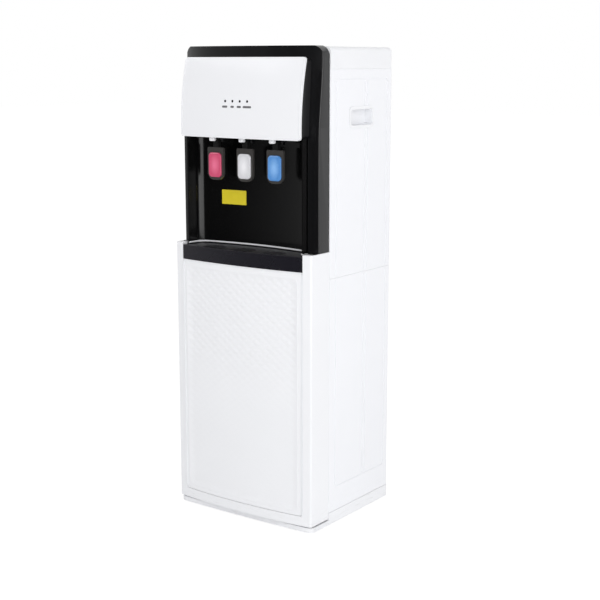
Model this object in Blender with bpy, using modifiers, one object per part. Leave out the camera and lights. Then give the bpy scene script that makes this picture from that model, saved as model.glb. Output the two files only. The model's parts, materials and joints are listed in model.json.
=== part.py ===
# A floor-standing water dispenser with three taps, loaded from a cabinet behind the lower door.
# Metres, +Z up, the front faces -Y, and the origin is on the floor under the middle of the object.

import math

import bmesh
import bpy
from mathutils import Matrix, Vector

# The whole
WIDTH = 0.372
DEPTH = 0.322
FRONT_BOW = 0.013
WALL = 0.004
SKIN = 0.003
SHEET = 0.003
BACK_SHEET = 0.0012
FIT = 0.0003
EDGE = 0.0012
OVERCUT = 0.010

# Heights that stack up from the floor to the top
PLINTH_HEIGHT = 0.0166
RAIL_HEIGHT = 0.0217
DOOR_HEIGHT = 0.5314
DECK_LIP = 0.0023
TRAY_HEIGHT = 0.0320
UPSTAND_REVEAL = 0.0048
TAP_SPACE = 0.2413
VISOR_OVERLAP = 0.0053
VISOR_HEIGHT = 0.1692
HEADBAND = 0.0233

# Base
FOOT_RADIUS = 0.016
FOOT_HEIGHT = 0.010
FOOT_STEM = 0.009
FOOT_PAD = 0.004
FOOT_INSET = 0.040
BASE_CLEARANCE = 0.003
BASE_LIP = 0.001
BASE_SETBACK = 0.0105
BASE_BOW = 0.003
BASE_CORNER = 0.015
SHADOW_GAP = 0.003
SHADOW_DEPTH = 0.012
SIDE_RISE = 0.0134
SHELF_THICKNESS = 0.007
BOTTLE_RADIUS = 0.138
BOTTLE_RECESS = 0.0015

# Lower cabinet
PILLAR = 0.0215
PILLAR_DEPTH = 0.014
FRONT_CORNER = 0.005
REAR_CORNER = 0.006
REAR_FLANGE = 0.016
REAR_RECESS = 0.012
SEAM_DROP = 0.0217
FIELD_LINE = 0.1025
FIELD_MARGIN = 0.0255
GROOVE = 0.0022
GROOVE_DEPTH = 0.0012
BEAD_PLACE = 0.0555
BEAD_SPREAD = 0.005
BAND_INSET = 0.0215
LINE_INSET = 0.060
SEAM_MARGIN = 0.0044
DECK_THICKNESS = 0.008

# Door
DOOR_GAP = 0.0012
DOOR_BACK = 0.0125
DOOR_RIM = 0.0105
DOOR_ROUND = 0.005
DOOR_FOOT_CORNER = 0.0055
DOOR_HEAD_CORNER = 0.002
PIN_FROM_EDGE = 0.008
PIN_FROM_FACE = 0.005
PIN_RADIUS = 0.0022
PIN_REACH = 0.0078
PIN_SINK = 0.012
PANEL_THICKNESS = 0.004
PANEL_CORNER = 0.009
PANEL_SEAT = 0.0006
QUILT_HEIGHT = 0.0013
QUILT_COLUMNS = 13
QUILT_ROWS = 29
QUILT_FADE_SHARES = (0.25, 0.65)
QUILT_LEAST_SHARE = 0.3
LINER = 0.0026
LINER_MARGIN = 0.004
LINER_BORDER = 0.0125
LINER_PRESS = 0.0012
CATCH_SIZE = (0.030, 0.016, 0.040)
CATCH_SLOT = 0.009
TONGUE_SIZE = (0.006, 0.012, 0.014)

# Upper front
SURROUND_INSET = 0.002
SURROUND_CROWN = 0.0284
SURROUND_BOW = 0.0146
SURROUND_REAR = 0.0795
SURROUND_CORNER = 0.026
SURROUND_EDGE = 0.003
SURROUND_LEAN = 0.0145
LEAN_POWER = 4
LEAN_RISE = 0.0208
LEAN_REACH = 0.1194
SIDE_BAR = 0.0265
NICHE_DEPTH = 0.077
NICHE_BOW = 0.0170
NICHE_DRAFT = 0.0016
NICHE_FILLET = 0.030
NICHE_FILLET_END = math.radians(72.5)
NICHE_MOUTH = 0.022
RIM_FORWARD = 0.0012
RIM_BACK = 0.0018
VISOR_INSET = 0.0233
VISOR_THICKNESS = 0.0062
VISOR_CORNER = 0.006
VISOR_RIM = 0.0036
VISOR_RIM_HEIGHT = 0.0007
VISOR_BOW = 0.0060
VISOR_SETBACK = 0.0071
VISOR_BULGE = 0.0060
VISOR_LEAN = 0.0261
BOX_TOP_DROP = 0.0045
BOX_FLOOR = 0.010
LAMP_RADIUS = 0.0026
LAMP_PITCH = 0.0197
LAMP_MIDDLE = -0.004
LAMP_RISE = 0.0776
LAMP_FACE_SHARE = 0.6
LAMP_COLOURS = ("lamp_red", "lamp_green", "lamp_blue", "lamp_amber")

# Taps
TAP_PITCH = 0.081
NOZZLE_RADIUS = 0.0075
NOZZLE_BORE = 0.0042
NOZZLE_SETBACK = 0.0190
NOZZLE_LENGTH = 0.0136
TAP_BODY = (0.036, 0.027, 0.004)
TAP_EAR = 0.0045
TAP_EAR_DROP = 0.017
LEVER_WIDTH = 0.044
LEVER_LENGTH = 0.0707
LEVER_THICKNESS = 0.006
LEVER_SETBACK = 0.0275
LEVER_HANG = 0.0281
LEVER_TOP_CORNER = 0.003
LEVER_BOTTOM_CORNER = 0.016
LEVER_NECK = 0.014
LEVER_PIVOT_DROP = 0.0105
LEVER_PIVOT_BACK = 0.0085
LEVER_BARREL = 0.0045
TRUNNION_RADIUS = 0.0022
INSERT_WIDTH = 0.032
INSERT_MARGIN = 0.0060
INSERT_TOP_MARGIN = 0.0112
INSERT_PROUD = 0.0022
INSERT_SINK = 0.0025
INSERT_CORNER = 0.009

# Drip tray
TRAY_CLEARANCE = 0.0012
TRAY_WALL = 0.003
TRAY_LEDGE = 0.0022
GRILLE_THICKNESS = 0.0035
GRILLE_SLOT = 0.0052
GRILLE_PITCH = 0.0092
GRILLE_SLOTS = 6
GRILLE_FIELD = 0.027
GRILLE_FIELD_BACK = 0.003

# Grips, cover and back
GRIP_FRONT = 0.0060
GRIP_REAR = 0.0815
GRIP_RISE = 0.0184
GRIP_HEIGHT = 0.0380
GRIP_DEPTH = 0.022
GRIP_RIM = 0.0050
GRIP_PROUD = 0.0007
GRIP_CORNER = 0.006
GRIP_WALL = 0.002
COVER_HEIGHT = 0.0456
COVER_DROP = 0.002
COVER_EDGE = 0.003
COVER_CORNER = 0.008
COVER_WALL = 0.008
VENT_SIZE = (0.110, 0.150)
VENT_CENTRE = (-0.075, 0.245)
VENT_FRAME = 0.006
VENT_SLOTS = 11
VENT_SLOT_SHARE = 0.5
VENT_DEPTH = 0.006
SWITCH_PLATE = (0.052, 0.0030, 0.036)
SWITCH_CENTRE = (0.095, 0.190)
SWITCH_LIP = 0.003
ROCKER_SIZE = (0.013, 0.020)
ROCKER_PITCH = 0.023
ROCKER_DEPTH = 0.008
ROCKER_TILT = math.radians(8)
ROCKER_CLEARANCE = 0.0012
GLAND_RADIUS = 0.010
GLAND_NUT = 0.003
GLAND_LENGTH = 0.010
GLAND_GAPS = (0.0617, 0.060)
GLAND_CONE_SHARE = 0.72
GLAND_BORE_SHARE = 0.42
FITTING_NECK = 0.003
DRAIN_RADIUS = 0.011
DRAIN_LENGTH = 0.009
DRAIN_PLACES = (-0.045, 0.045)
DRAIN_LEVEL = 0.022

# Inside
HOT_RADIUS = 0.058
HOT_HEIGHT = 0.170
HOT_GAPS = (0.0317, 0.020)
COLD_RADIUS = 0.064
COLD_HEIGHT = 0.262
COLD_GAPS = (0.0317, 0.012)
TANK_DOME = 0.012
TANK_FOOT = 0.006
DOME_WIDTH_SHARE = 0.6
DOME_FALL_SHARE = 0.2
PUMP_SIZE = (0.040, 0.060, 0.045)
PUMP_PLACE = 0.005
PUMP_GAP = 0.0128
PUMP_HEAD = (0.014, 0.011)
COOLER_SIZE = (0.090, 0.026, 0.120)
COOLER_FINS = 9
COOLER_FIN_SHARE = 0.5
COOLER_BASE = 0.008
PROBE_GAPS = (0.0087, 0.0088)
PROBE_RADIUS = 0.006
PROBE_LENGTH = 0.370
PROBE_CAP_RADIUS = 0.027
PROBE_CAP_HEIGHT = 0.020
PROBE_CAP_STEP_SHARE = 0.6
PROBE_DROP = 0.075
HOSE_RADIUS = 0.005
HOSE_SWAY = 0.014
HOLDER_THICKNESS = 0.004
HOLDER_MARGIN = 0.008
HOLDER_SLOT = 0.0144

# What follows from the sizes above
HALF = WIDTH / 2
FRONT = -DEPTH / 2
REAR = DEPTH / 2
SIDE_BOTTOM = PLINTH_HEIGHT + SIDE_RISE
RAIL_TOP = PLINTH_HEIGHT + RAIL_HEIGHT
DOOR_BOTTOM = RAIL_TOP + DOOR_GAP
DOOR_TOP = DOOR_BOTTOM + DOOR_HEIGHT
DECK_TOP = DOOR_TOP + DOOR_GAP + DECK_LIP
DECK_UNDER = DECK_TOP - DECK_THICKNESS
TRAY_BOTTOM = DECK_TOP + FIT
TRAY_TOP = TRAY_BOTTOM + TRAY_HEIGHT
MID_SEAM = TRAY_BOTTOM - SEAM_DROP
LOWER_TOP = TRAY_TOP + UPSTAND_REVEAL
CEILING = LOWER_TOP + TAP_SPACE
VISOR_BOTTOM = CEILING - VISOR_OVERLAP
VISOR_TOP = VISOR_BOTTOM + VISOR_HEIGHT
HEIGHT = VISOR_TOP + HEADBAND
COVER_TOP = HEIGHT - COVER_DROP
COVER_BOTTOM = COVER_TOP - COVER_HEIGHT
INNER_HALF = HALF - WALL - FIT
OPENING_HALF = HALF - PILLAR
PILLAR_REAR = FRONT + FRONT_BOW + PILLAR_DEPTH
BACK_PANEL = REAR - REAR_RECESS - BACK_SHEET
DOOR_HALF = OPENING_HALF - DOOR_GAP
DOOR_REAR = FRONT + FRONT_BOW + DOOR_BACK - WALL
NICHE_BACK = FRONT + NICHE_DEPTH
UPPER_FRONT = FRONT + SURROUND_CROWN
SURROUND_HALF = HALF - SURROUND_INSET
SURROUND_BACK = FRONT + SURROUND_REAR
SURROUND_BOTTOM = LOWER_TOP + FIT
LEAN_START = CEILING + LEAN_RISE
LEAN_END = LEAN_START + LEAN_REACH
BAR_INNER = SURROUND_HALF - SIDE_BAR
NICHE_HALF = BAR_INNER - SKIN
VISOR_HALF = SURROUND_HALF - VISOR_INSET
BOX_TOP = VISOR_TOP - BOX_TOP_DROP
LAMP_LEVEL = VISOR_BOTTOM + LAMP_RISE
LEVER_TOP = CEILING - LEVER_HANG
LEVER_BOTTOM = LEVER_TOP - LEVER_LENGTH
GRIP_BOTTOM = CEILING + GRIP_RISE
GRIP_TOP = GRIP_BOTTOM + GRIP_HEIGHT
GLAND_CENTRE = (INNER_HALF - GLAND_GAPS[0], SIDE_BOTTOM + GLAND_GAPS[1])
HOT_CENTRE = (INNER_HALF - HOT_GAPS[0] - HOT_RADIUS, NICHE_BACK + HOT_GAPS[1] + HOT_RADIUS)
COLD_CENTRE = (COLD_RADIUS + COLD_GAPS[0] - INNER_HALF, NICHE_BACK + COLD_GAPS[1] + COLD_RADIUS)
PROBE_CENTRE = (
    PROBE_CAP_RADIUS + PROBE_GAPS[0] - INNER_HALF,
    BACK_PANEL - PROBE_GAPS[1] - PROBE_CAP_RADIUS,
)
SIDES = 24
STEPS = 12

PART = bpy.data.collections.new("water_dispenser")
CUTTERS = bpy.data.collections.new("cutters")
PAINTS = {}


def start():
    """Clears the scene and makes the two collections."""
    for item in list(bpy.data.objects):
        bpy.data.objects.remove(item, do_unlink=True)
    bpy.context.scene.collection.children.link(PART)
    bpy.context.scene.collection.children.link(CUTTERS)
    CUTTERS.hide_render = True


def paint(name, colour, roughness, metallic=0.0):
    """Makes one material and keeps it under its name."""
    material = bpy.data.materials.new(name)
    material.use_nodes = True
    shader = material.node_tree.nodes["Principled BSDF"]
    shader.inputs["Base Color"].default_value = (*colour, 1.0)
    shader.inputs["Roughness"].default_value = roughness
    shader.inputs["Metallic"].default_value = metallic
    material.diffuse_color = (*colour, 1.0)
    PAINTS[name] = material


def place(name, mesh, colour=None):
    """Puts a mesh in the part under its own paint, or among the cutters."""
    item = bpy.data.objects.new(name, mesh)
    if colour is None:
        CUTTERS.objects.link(item)
        item.hide_render = True
        item.display_type = "WIRE"
        return item
    PART.objects.link(item)
    own = PAINTS[colour].copy()
    own.name = name + "_" + colour
    item.data.materials.append(own)
    return item


def finish_mesh(name, shape):
    """Turns a worked shape into a mesh with its faces outward."""
    bmesh.ops.recalc_face_normals(shape, faces=shape.faces)
    if shape.calc_volume(signed=True) < 0:
        bmesh.ops.reverse_faces(shape, faces=shape.faces)
    mesh = bpy.data.meshes.new(name)
    shape.to_mesh(mesh)
    shape.free()
    return mesh


def box(name, low, high, colour=None):
    """A box between two corners."""
    low, high = Vector(low), Vector(high)
    shape = bmesh.new()
    scale = Matrix.Diagonal((*(high - low), 1.0))
    bmesh.ops.create_cube(shape, size=1.0, matrix=Matrix.Translation((low + high) / 2) @ scale)
    return place(name, finish_mesh(name, shape), colour)


def drum(name, centre, radius, length, axis, colour=None, sides=SIDES):
    """A cylinder about a line along one axis, centred on a point."""
    shape = bmesh.new()
    turn = {"X": Matrix.Rotation(math.pi / 2, 4, "Y"), "Y": Matrix.Rotation(-math.pi / 2, 4, "X")}
    matrix = Matrix.Translation(Vector(centre)) @ turn.get(axis, Matrix.Identity(4))
    sizes = {"radius1": radius, "radius2": radius, "depth": length}
    bmesh.ops.create_cone(shape, cap_ends=True, segments=sides, matrix=matrix, **sizes)
    item = place(name, finish_mesh(name, shape), colour)
    smooth(item)
    return item


def slab(name, outline, low, high, normal="Z", colour=None):
    """A flat outline, drawn in the two axes across the normal, made solid from low to high along it."""
    curve = bpy.data.curves.new(name, "CURVE")
    curve.dimensions = "2D"
    curve.fill_mode = "BOTH"
    curve.extrude = (high - low) / 2
    line = curve.splines.new("POLY")
    line.points.add(len(outline) - 1)
    for point, (a, b) in zip(line.points, outline):
        point.co = (a, b, 0, 1)
    line.use_cyclic_u = True
    return place(name, solid_from_curve(name, curve, (low + high) / 2, normal), colour)


def solid_from_curve(name, curve, middle, normal):
    """Reads the solid that a curve makes, welds its caps and turns it to its normal."""
    helper = bpy.data.objects.new(name + "_curve", curve)
    bpy.context.scene.collection.objects.link(helper)
    bpy.context.view_layer.update()
    read = bpy.data.meshes.new_from_object(helper.evaluated_get(bpy.context.evaluated_depsgraph_get()))
    bpy.data.objects.remove(helper, do_unlink=True)
    shape = bmesh.new()
    shape.from_mesh(read)
    bmesh.ops.remove_doubles(shape, verts=shape.verts, dist=FIT / 30)
    for vertex in shape.verts:
        a, b, c = vertex.co
        c += middle
        vertex.co = {"Z": (a, b, c), "Y": (a, c, b), "X": (c, a, b)}[normal]
    return finish_mesh(name, shape)


def turned(name, profile, centre, colour, steps=SIDES, axis="Z"):
    """A piece turned about a line through the centre, from a profile that runs top to bottom."""
    mesh = bpy.data.meshes.new(name)
    points = [(radius, 0, height) for radius, height in profile]
    mesh.from_pydata(points, [(i, i + 1) for i in range(len(points) - 1)], [])
    item = place(name, mesh, colour)
    item.location = centre
    if axis == "Y":
        item.rotation_euler = (-math.pi / 2, 0, 0)
    screw = item.modifiers.new("turn", "SCREW")
    screw.steps = steps
    screw.render_steps = steps
    screw.use_merge_vertices = True
    screw.merge_threshold = FIT / 3
    screw.use_smooth_shade = True
    return item


def tube(name, path, radius, colour):
    """A round bar or hose along a path."""
    curve = bpy.data.curves.new(name, "CURVE")
    curve.dimensions = "3D"
    curve.bevel_depth = radius
    curve.bevel_resolution = 2
    curve.use_fill_caps = True
    line = curve.splines.new("POLY")
    line.points.add(len(path) - 1)
    for point, place_on_path in zip(line.points, path):
        point.co = (*place_on_path, 1)
    return place(name, solid_from_curve(name, curve, 0, "Z"), colour)


def curved_plate(name, columns, rows, face, back, colour=None, back_rows=None, crossed=False):
    """A plate whose front and back are surfaces over X and Z, given as functions that return Y."""
    shape = bmesh.new()
    kept = range(len(rows)) if back_rows is None else back_rows
    near = [[shape.verts.new((x, face(x, z), z)) for x in columns] for z in rows]
    far = [[shape.verts.new((x, back(x, rows[k]), rows[k])) for x in columns] for k in kept]
    for grid in (near, far):
        for k in range(len(grid) - 1):
            for i in range(len(columns) - 1):
                a, b, c, d = grid[k][i], grid[k][i + 1], grid[k + 1][i + 1], grid[k + 1][i]
                if not crossed or grid is far:
                    shape.faces.new((a, b, c, d))
                elif (i + k) % 2:
                    shape.faces.new((a, b, c))
                    shape.faces.new((a, c, d))
                else:
                    shape.faces.new((a, b, d))
                    shape.faces.new((b, c, d))
    for k, far_k in ((0, 0), (-1, -1)):
        for i in range(len(columns) - 1):
            shape.faces.new((near[k][i], near[k][i + 1], far[far_k][i + 1], far[far_k][i]))
    for i in (0, -1):
        shape.faces.new([row[i] for row in near] + [row[i] for row in reversed(far)])
    return place(name, finish_mesh(name, shape), colour)


def combine(target, tools, operation):
    """Adds one exact Boolean for each tool, which is drawn among the cutters."""
    for tool in tools:
        change = target.modifiers.new(operation.lower(), "BOOLEAN")
        change.operation = operation
        change.solver = "EXACT"
        change.object = tool


def cut(target, *tools):
    combine(target, tools, "DIFFERENCE")


def join(target, *tools):
    combine(target, tools, "UNION")


def round_edges(item, width=EDGE, segments=1, angle=math.radians(50)):
    """Rounds the edges sharper than an angle."""
    bevel = item.modifiers.new("edges", "BEVEL")
    bevel.width = width
    bevel.segments = segments
    bevel.limit_method = "ANGLE"
    bevel.angle_limit = angle


def smooth(item):
    """Shades the round faces smooth."""
    for face in item.data.polygons:
        face.use_smooth = True


def lean(item):
    """Sweeps the sides of the black surround's front back between two levels, and leaves its middle."""
    shape = bmesh.new()
    shape.from_mesh(item.data)
    for level in (LEAN_START, LEAN_END):
        everything = shape.verts[:] + shape.edges[:] + shape.faces[:]
        plane = {"plane_co": (0, 0, level), "plane_no": (0, 0, 1)}
        bmesh.ops.bisect_plane(shape, geom=everything, dist=FIT / 30, **plane)
    for vertex in shape.verts:
        if vertex.co.y < SURROUND_BACK - FIT:
            rise = min(1.0, max(0.0, (vertex.co.z - LEAN_START) / LEAN_REACH))
            vertex.co.y += SURROUND_LEAN * rise * (abs(vertex.co.x) / SURROUND_HALF) ** LEAN_POWER
    bmesh.ops.triangulate(shape, faces=shape.faces[:])
    shape.to_mesh(item.data)
    shape.free()


def bow(x, crown, sag, reach):
    """Y on an arc in plan, at the crown in the middle and further back by the sag at its reach."""
    radius = (reach * reach + sag * sag) / (2 * sag)
    return crown + radius - math.sqrt(radius * radius - x * x)


def lower_front(x):
    return bow(x, FRONT, FRONT_BOW, HALF)


def spread(start, end, steps):
    return [start + (end - start) * i / steps for i in range(steps + 1)]


def arc_points(centre, radius, start, end, steps):
    """Points on an arc, with its angles in degrees."""
    angles = [math.radians(angle) for angle in spread(start, end, steps)]
    return [(centre[0] + radius * math.cos(a), centre[1] + radius * math.sin(a)) for a in angles]


def rounded(low, high, radius, steps=3):
    """A rectangle with rounded corners. Four radii run anticlockwise from the low left corner."""
    radii = radius if isinstance(radius, tuple) else (radius,) * 4
    (x0, y0), (x1, y1) = low, high
    a, b, c, d = radii
    points = arc_points((x0 + a, y0 + a), a, 180, 270, steps)
    points += arc_points((x1 - b, y0 + b), b, 270, 360, steps)
    points += arc_points((x1 - c, y1 - c), c, 0, 90, steps)
    points += arc_points((x0 + d, y1 - d), d, 90, 180, steps)
    return points


def mirrored(points):
    """An outline of the right half, from front to back or back to front, closed by its mirror image."""
    return points + [(-x, y) for x, y in reversed(points)]


def niche_line(offset, flat_steps=7, fillet_steps=5):
    """Plan of the wall behind the taps, from its middle to its right mouth, moved forward by an offset."""
    radius = (NICHE_HALF * NICHE_HALF + NICHE_BOW * NICHE_BOW) / (2 * NICHE_BOW)
    fillet_width = NICHE_FILLET * math.sin(NICHE_FILLET_END)
    flat = (NICHE_HALF - NICHE_DRAFT - fillet_width) * radius / (radius - NICHE_FILLET)
    points = []
    for x in spread(0, flat, flat_steps):
        turn = math.asin(x / radius)
        points.append((x - offset * math.sin(turn), NICHE_BACK - radius + (radius - offset) * math.cos(turn)))
    heading = math.asin(flat / radius)
    reach = radius - NICHE_FILLET
    centre = (reach * math.sin(heading), NICHE_BACK - radius + reach * math.cos(heading))
    for turn in spread(heading, NICHE_FILLET_END, fillet_steps)[1:]:
        reach = NICHE_FILLET - offset
        points.append((centre[0] + reach * math.sin(turn), centre[1] + reach * math.cos(turn)))
    points.append((NICHE_HALF - offset, FRONT + NICHE_MOUTH))
    return points


def niche_band(back, forward):
    """A wall of even thickness along the niche line, as a closed outline."""
    front_side = niche_line(forward)
    back_side = niche_line(-back)
    left = [(-x, y) for x, y in reversed(front_side)]
    far_left = [(-x, y) for x, y in back_side[1:]]
    return left[:-1] + front_side + list(reversed(back_side)) + far_left


def build_base():
    half = HALF + BASE_LIP
    straight = half - BASE_CORNER
    front = [(x, bow(x, FRONT + BASE_SETBACK, BASE_BOW, half)) for x in spread(-straight, straight, STEPS)]
    side_y = front[0][1] + BASE_CORNER
    left = arc_points((-straight, side_y), BASE_CORNER, 180, 270, 3)[:-1]
    right = arc_points((straight, side_y), BASE_CORNER, 270, 360, 3)[1:]
    back = arc_points((half - REAR_CORNER, REAR - REAR_CORNER), REAR_CORNER, 0, 90, 3)
    back += arc_points((-half + REAR_CORNER, REAR - REAR_CORNER), REAR_CORNER, 90, 180, 3)
    skirt_top = PLINTH_HEIGHT - SHADOW_GAP
    pan = slab("base_pan", left + front + right + back, BASE_CLEARANCE, skirt_top, "Z", "white")
    round_edges(pan)
    floor_top = FOOT_HEIGHT + SHEET
    sides = rounded((-half, SURROUND_BACK + FIT), (half, REAR), (EDGE, EDGE, REAR_CORNER, REAR_CORNER))
    step = slab("base_sides", sides, floor_top, SIDE_BOTTOM - FIT)
    core_front = FRONT + BASE_SETBACK + SHADOW_DEPTH
    core_half = half - SHADOW_DEPTH
    core = box(
        "base_core",
        (-core_half, core_front, floor_top - SHEET / 2),
        (core_half, SURROUND_BACK + OVERCUT, PLINTH_HEIGHT - FIT),
    )
    join(pan, step, core)
    under = box(
        "base_under",
        (-half + WALL, core_front + WALL, BASE_CLEARANCE - OVERCUT),
        (half - WALL, REAR - WALL, FOOT_HEIGHT + FIT),
    )
    well = box(
        "base_well",
        (-half + REAR_CORNER, SURROUND_BACK + REAR_CORNER, floor_top + FIT),
        (half - REAR_CORNER, REAR - REAR_CORNER, SIDE_BOTTOM + OVERCUT),
    )
    cut(pan, under, well)
    for name, sign, y in foot_places():
        profile = [(0, FOOT_HEIGHT), (FOOT_STEM, FOOT_HEIGHT), (FOOT_STEM, FOOT_PAD + EDGE)]
        profile += [(FOOT_RADIUS, FOOT_PAD), (FOOT_RADIUS, EDGE), (FOOT_RADIUS - EDGE, 0), (0, 0)]
        turned("foot_" + name, profile, (sign * (HALF - FOOT_INSET), y, 0), "rubber")


def foot_places():
    rows = (("front", FRONT + BASE_SETBACK + FOOT_INSET), ("rear", REAR - FOOT_INSET))
    return [(row + side, sign, y) for row, y in rows for side, sign in (("_left", -1), ("_right", 1))]


def build_front_frame():
    corner_y = lower_front(HALF - FRONT_CORNER) + FRONT_CORNER
    half_line = [(x, lower_front(x)) for x in spread(0, HALF - FRONT_CORNER, STEPS)]
    half_line += arc_points((HALF - FRONT_CORNER, corner_y), FRONT_CORNER, 290, 360, 4)
    half_line += [(HALF, SURROUND_BACK), (HALF - SKIN, SURROUND_BACK), (HALF - SKIN, PILLAR_REAR)]
    frame = slab("front_frame", mirrored(half_line)[:-1], PLINTH_HEIGHT, LOWER_TOP, "Z", "white")
    corners = (DOOR_FOOT_CORNER, DOOR_FOOT_CORNER, EDGE, EDGE)
    outline = rounded((-OPENING_HALF, RAIL_TOP), (OPENING_HALF, LOWER_TOP + OVERCUT), corners)
    opening = slab("front_opening", outline, FRONT - OVERCUT, PILLAR_REAR + OVERCUT, "Y")
    cut(frame, opening, pin_hole("rail", RAIL_TOP - PIN_SINK, RAIL_TOP + OVERCUT))


def pin_place():
    x = DOOR_HALF - PIN_FROM_EDGE
    return x, lower_front(x) + PIN_FROM_FACE


def pin_hole(name, low, high):
    """A cutter on the hinge line of the door."""
    return drum(f"{name}_pin_hole", (*pin_place(), (low + high) / 2), PIN_RADIUS + FIT, high - low, "Z")


def side_outline(sign, start):
    """Plan of one side panel with its rear corner and flange."""
    centre = (HALF - REAR_CORNER, REAR - REAR_CORNER)
    inner = REAR_CORNER - WALL
    points = [(HALF, start)] + arc_points(centre, REAR_CORNER, 0, 90, 4)
    points += [(HALF - REAR_FLANGE, REAR), (HALF - REAR_FLANGE, REAR - WALL)]
    points += arc_points(centre, inner, 90, 0, 4) + [(HALF - WALL, start)]
    return [(sign * x, y) for x, y in points]


def groove_lines(name, sign, low, high, end_line):
    """Cutters for a side panel's pressed lines: upright ones from low to high, and the field's end."""
    x0, x1 = sorted((sign * (HALF - GROOVE_DEPTH), sign * (HALF + OVERCUT)))
    field = FRONT + FIELD_LINE
    band = REAR - BAND_INSET
    tools = []
    for number, y in enumerate((field, BEAD_PLACE - BEAD_SPREAD, BEAD_PLACE + BEAD_SPREAD, band)):
        tools.append(box(f"{name}_line_{number}", (x0, y - GROOVE / 2, low), (x1, y + GROOVE / 2, high)))
    corners = (x0, field + GROOVE, end_line - GROOVE / 2), (x1, band - GROOVE, end_line + GROOVE / 2)
    return tools + [box(name + "_end", *corners)]


def build_sides():
    start = SURROUND_BACK + FIT
    field_top = COVER_BOTTOM - FIELD_MARGIN
    field_bottom = SIDE_BOTTOM + LINE_INSET
    for side, sign in (("left", -1), ("right", 1)):
        plan = side_outline(sign, start)
        lower = slab("side_lower_" + side, plan, SIDE_BOTTOM, MID_SEAM - FIT, "Z", "white")
        round_edges(lower, EDGE / 2)
        seam_low = MID_SEAM - SEAM_MARGIN
        cut(lower, *groove_lines("lower_" + side, sign, field_bottom, seam_low, field_bottom - SEAM_MARGIN))
        upper = slab("side_upper_" + side, plan, MID_SEAM, COVER_BOTTOM - FIT, "Z", "white")
        round_edges(upper, EDGE / 2)
        reach = sorted((sign * (HALF + OVERCUT), sign * (HALF - OVERCUT)))
        hole_outline = rounded((-GRIP_FRONT, GRIP_BOTTOM), (GRIP_REAR, GRIP_TOP), GRIP_CORNER)
        hole = slab("grip_hole_" + side, hole_outline, *reach, "X")
        seam_high = MID_SEAM + SEAM_MARGIN
        cut(upper, hole, *groove_lines("upper_" + side, sign, seam_high, field_top, field_top + SEAM_MARGIN))
        build_grip(side, sign)


def build_grip(side, sign):
    """The moulded cup in the hand hole, with a thin rim outside."""
    inner = HALF - GRIP_DEPTH
    low = (-GRIP_FRONT + FIT, GRIP_BOTTOM + FIT)
    high = (GRIP_REAR - FIT, GRIP_TOP - FIT)
    reach = sorted((sign * inner, sign * (HALF + GRIP_PROUD)))
    cup = slab("grip_cup_" + side, rounded(low, high, GRIP_CORNER - FIT), *reach, "X", "white")
    rim_low = (low[0] - GRIP_RIM, low[1] - GRIP_RIM)
    rim_high = (high[0] + GRIP_RIM, high[1] + GRIP_RIM)
    rim_x = sorted((sign * (HALF + FIT), sign * (HALF + GRIP_PROUD + FIT)))
    rim = slab("grip_rim_" + side, rounded(rim_low, rim_high, GRIP_CORNER + GRIP_RIM), *rim_x, "X")
    join(cup, rim)
    hollow_x = sorted((sign * (inner + GRIP_WALL), sign * (HALF + OVERCUT)))
    hollow_low = (low[0] + GRIP_WALL, low[1] + GRIP_WALL)
    hollow_high = (high[0] - GRIP_WALL, high[1] - GRIP_WALL)
    hollow_outline = rounded(hollow_low, hollow_high, GRIP_CORNER - GRIP_WALL)
    hollow = slab("grip_hollow_" + side, hollow_outline, *hollow_x, "X")
    cut(cup, hollow)


def build_shelf():
    low = SIDE_BOTTOM + FIT
    top = low + SHELF_THICKNESS
    corners = (-INNER_HALF, PILLAR_REAR + FIT, low), (INNER_HALF, BACK_PANEL - FIT, top)
    shelf = box("bottle_shelf", *corners, "white")
    round_edges(shelf)
    middle = (PILLAR_REAR + BACK_PANEL) / 2
    centre = (0, middle, top - BOTTLE_RECESS + OVERCUT / 2)
    seat = drum("bottle_seat", centre, BOTTLE_RADIUS, OVERCUT, "Z", None, 2 * SIDES)
    cut(shelf, seat)


def build_deck():
    """The floor under the drip tray, with the upstand that shows as a white line behind it."""
    side = OPENING_HALF - FIT
    half_line = [(x, lower_front(x)) for x in spread(0, side, STEPS)] + [(side, PILLAR_REAR + OVERCUT)]
    corners = (-INNER_HALF, PILLAR_REAR + FIT, DECK_UNDER), (INNER_HALF, BACK_PANEL - FIT, DECK_TOP)
    deck = box("tray_deck", *corners, "white")
    lip = slab("deck_lip", mirrored(half_line)[:-1], DECK_TOP - DECK_LIP, DECK_TOP)
    rim = slab("deck_rim", niche_band(RIM_BACK, RIM_FORWARD), DECK_TOP - DECK_LIP / 2, LOWER_TOP)
    join(deck, lip, rim)
    hose_length = 2 * (DECK_THICKNESS + OVERCUT)
    hose_hole = drum("deck_hose_hole", (*PROBE_CENTRE, DECK_UNDER), HOSE_RADIUS + FIT, hose_length, "Z")
    cut(deck, pin_hole("deck", DECK_TOP - DECK_LIP - OVERCUT, DECK_TOP + OVERCUT), hose_hole)


def build_backs():
    levels = (("lower", SIDE_BOTTOM + FIT, MID_SEAM - FIT), ("upper", MID_SEAM + FIT, COVER_BOTTOM - FIT))
    panels = {}
    for name, low, high in levels:
        corners = (-INNER_HALF, BACK_PANEL, low), (INNER_HALF, BACK_PANEL + BACK_SHEET, high)
        panels[name] = box("back_" + name, *corners, "back")
    cut(panels["upper"], box("vent_hole", *vent_box(0)), box("switch_hole", *switch_box(-SWITCH_LIP)))
    for number, x in enumerate(DRAIN_PLACES):
        centre = (x, BACK_PANEL, MID_SEAM + DRAIN_LEVEL + DRAIN_RADIUS)
        cut(panels["upper"], drum(f"drain_hole_{number}", centre, DRAIN_RADIUS / 2 + FIT, OVERCUT, "Y"))
    centre = (GLAND_CENTRE[0], BACK_PANEL, GLAND_CENTRE[1])
    cut(panels["lower"], drum("gland_hole", centre, GLAND_RADIUS / 2 + FIT, OVERCUT, "Y"))


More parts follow.
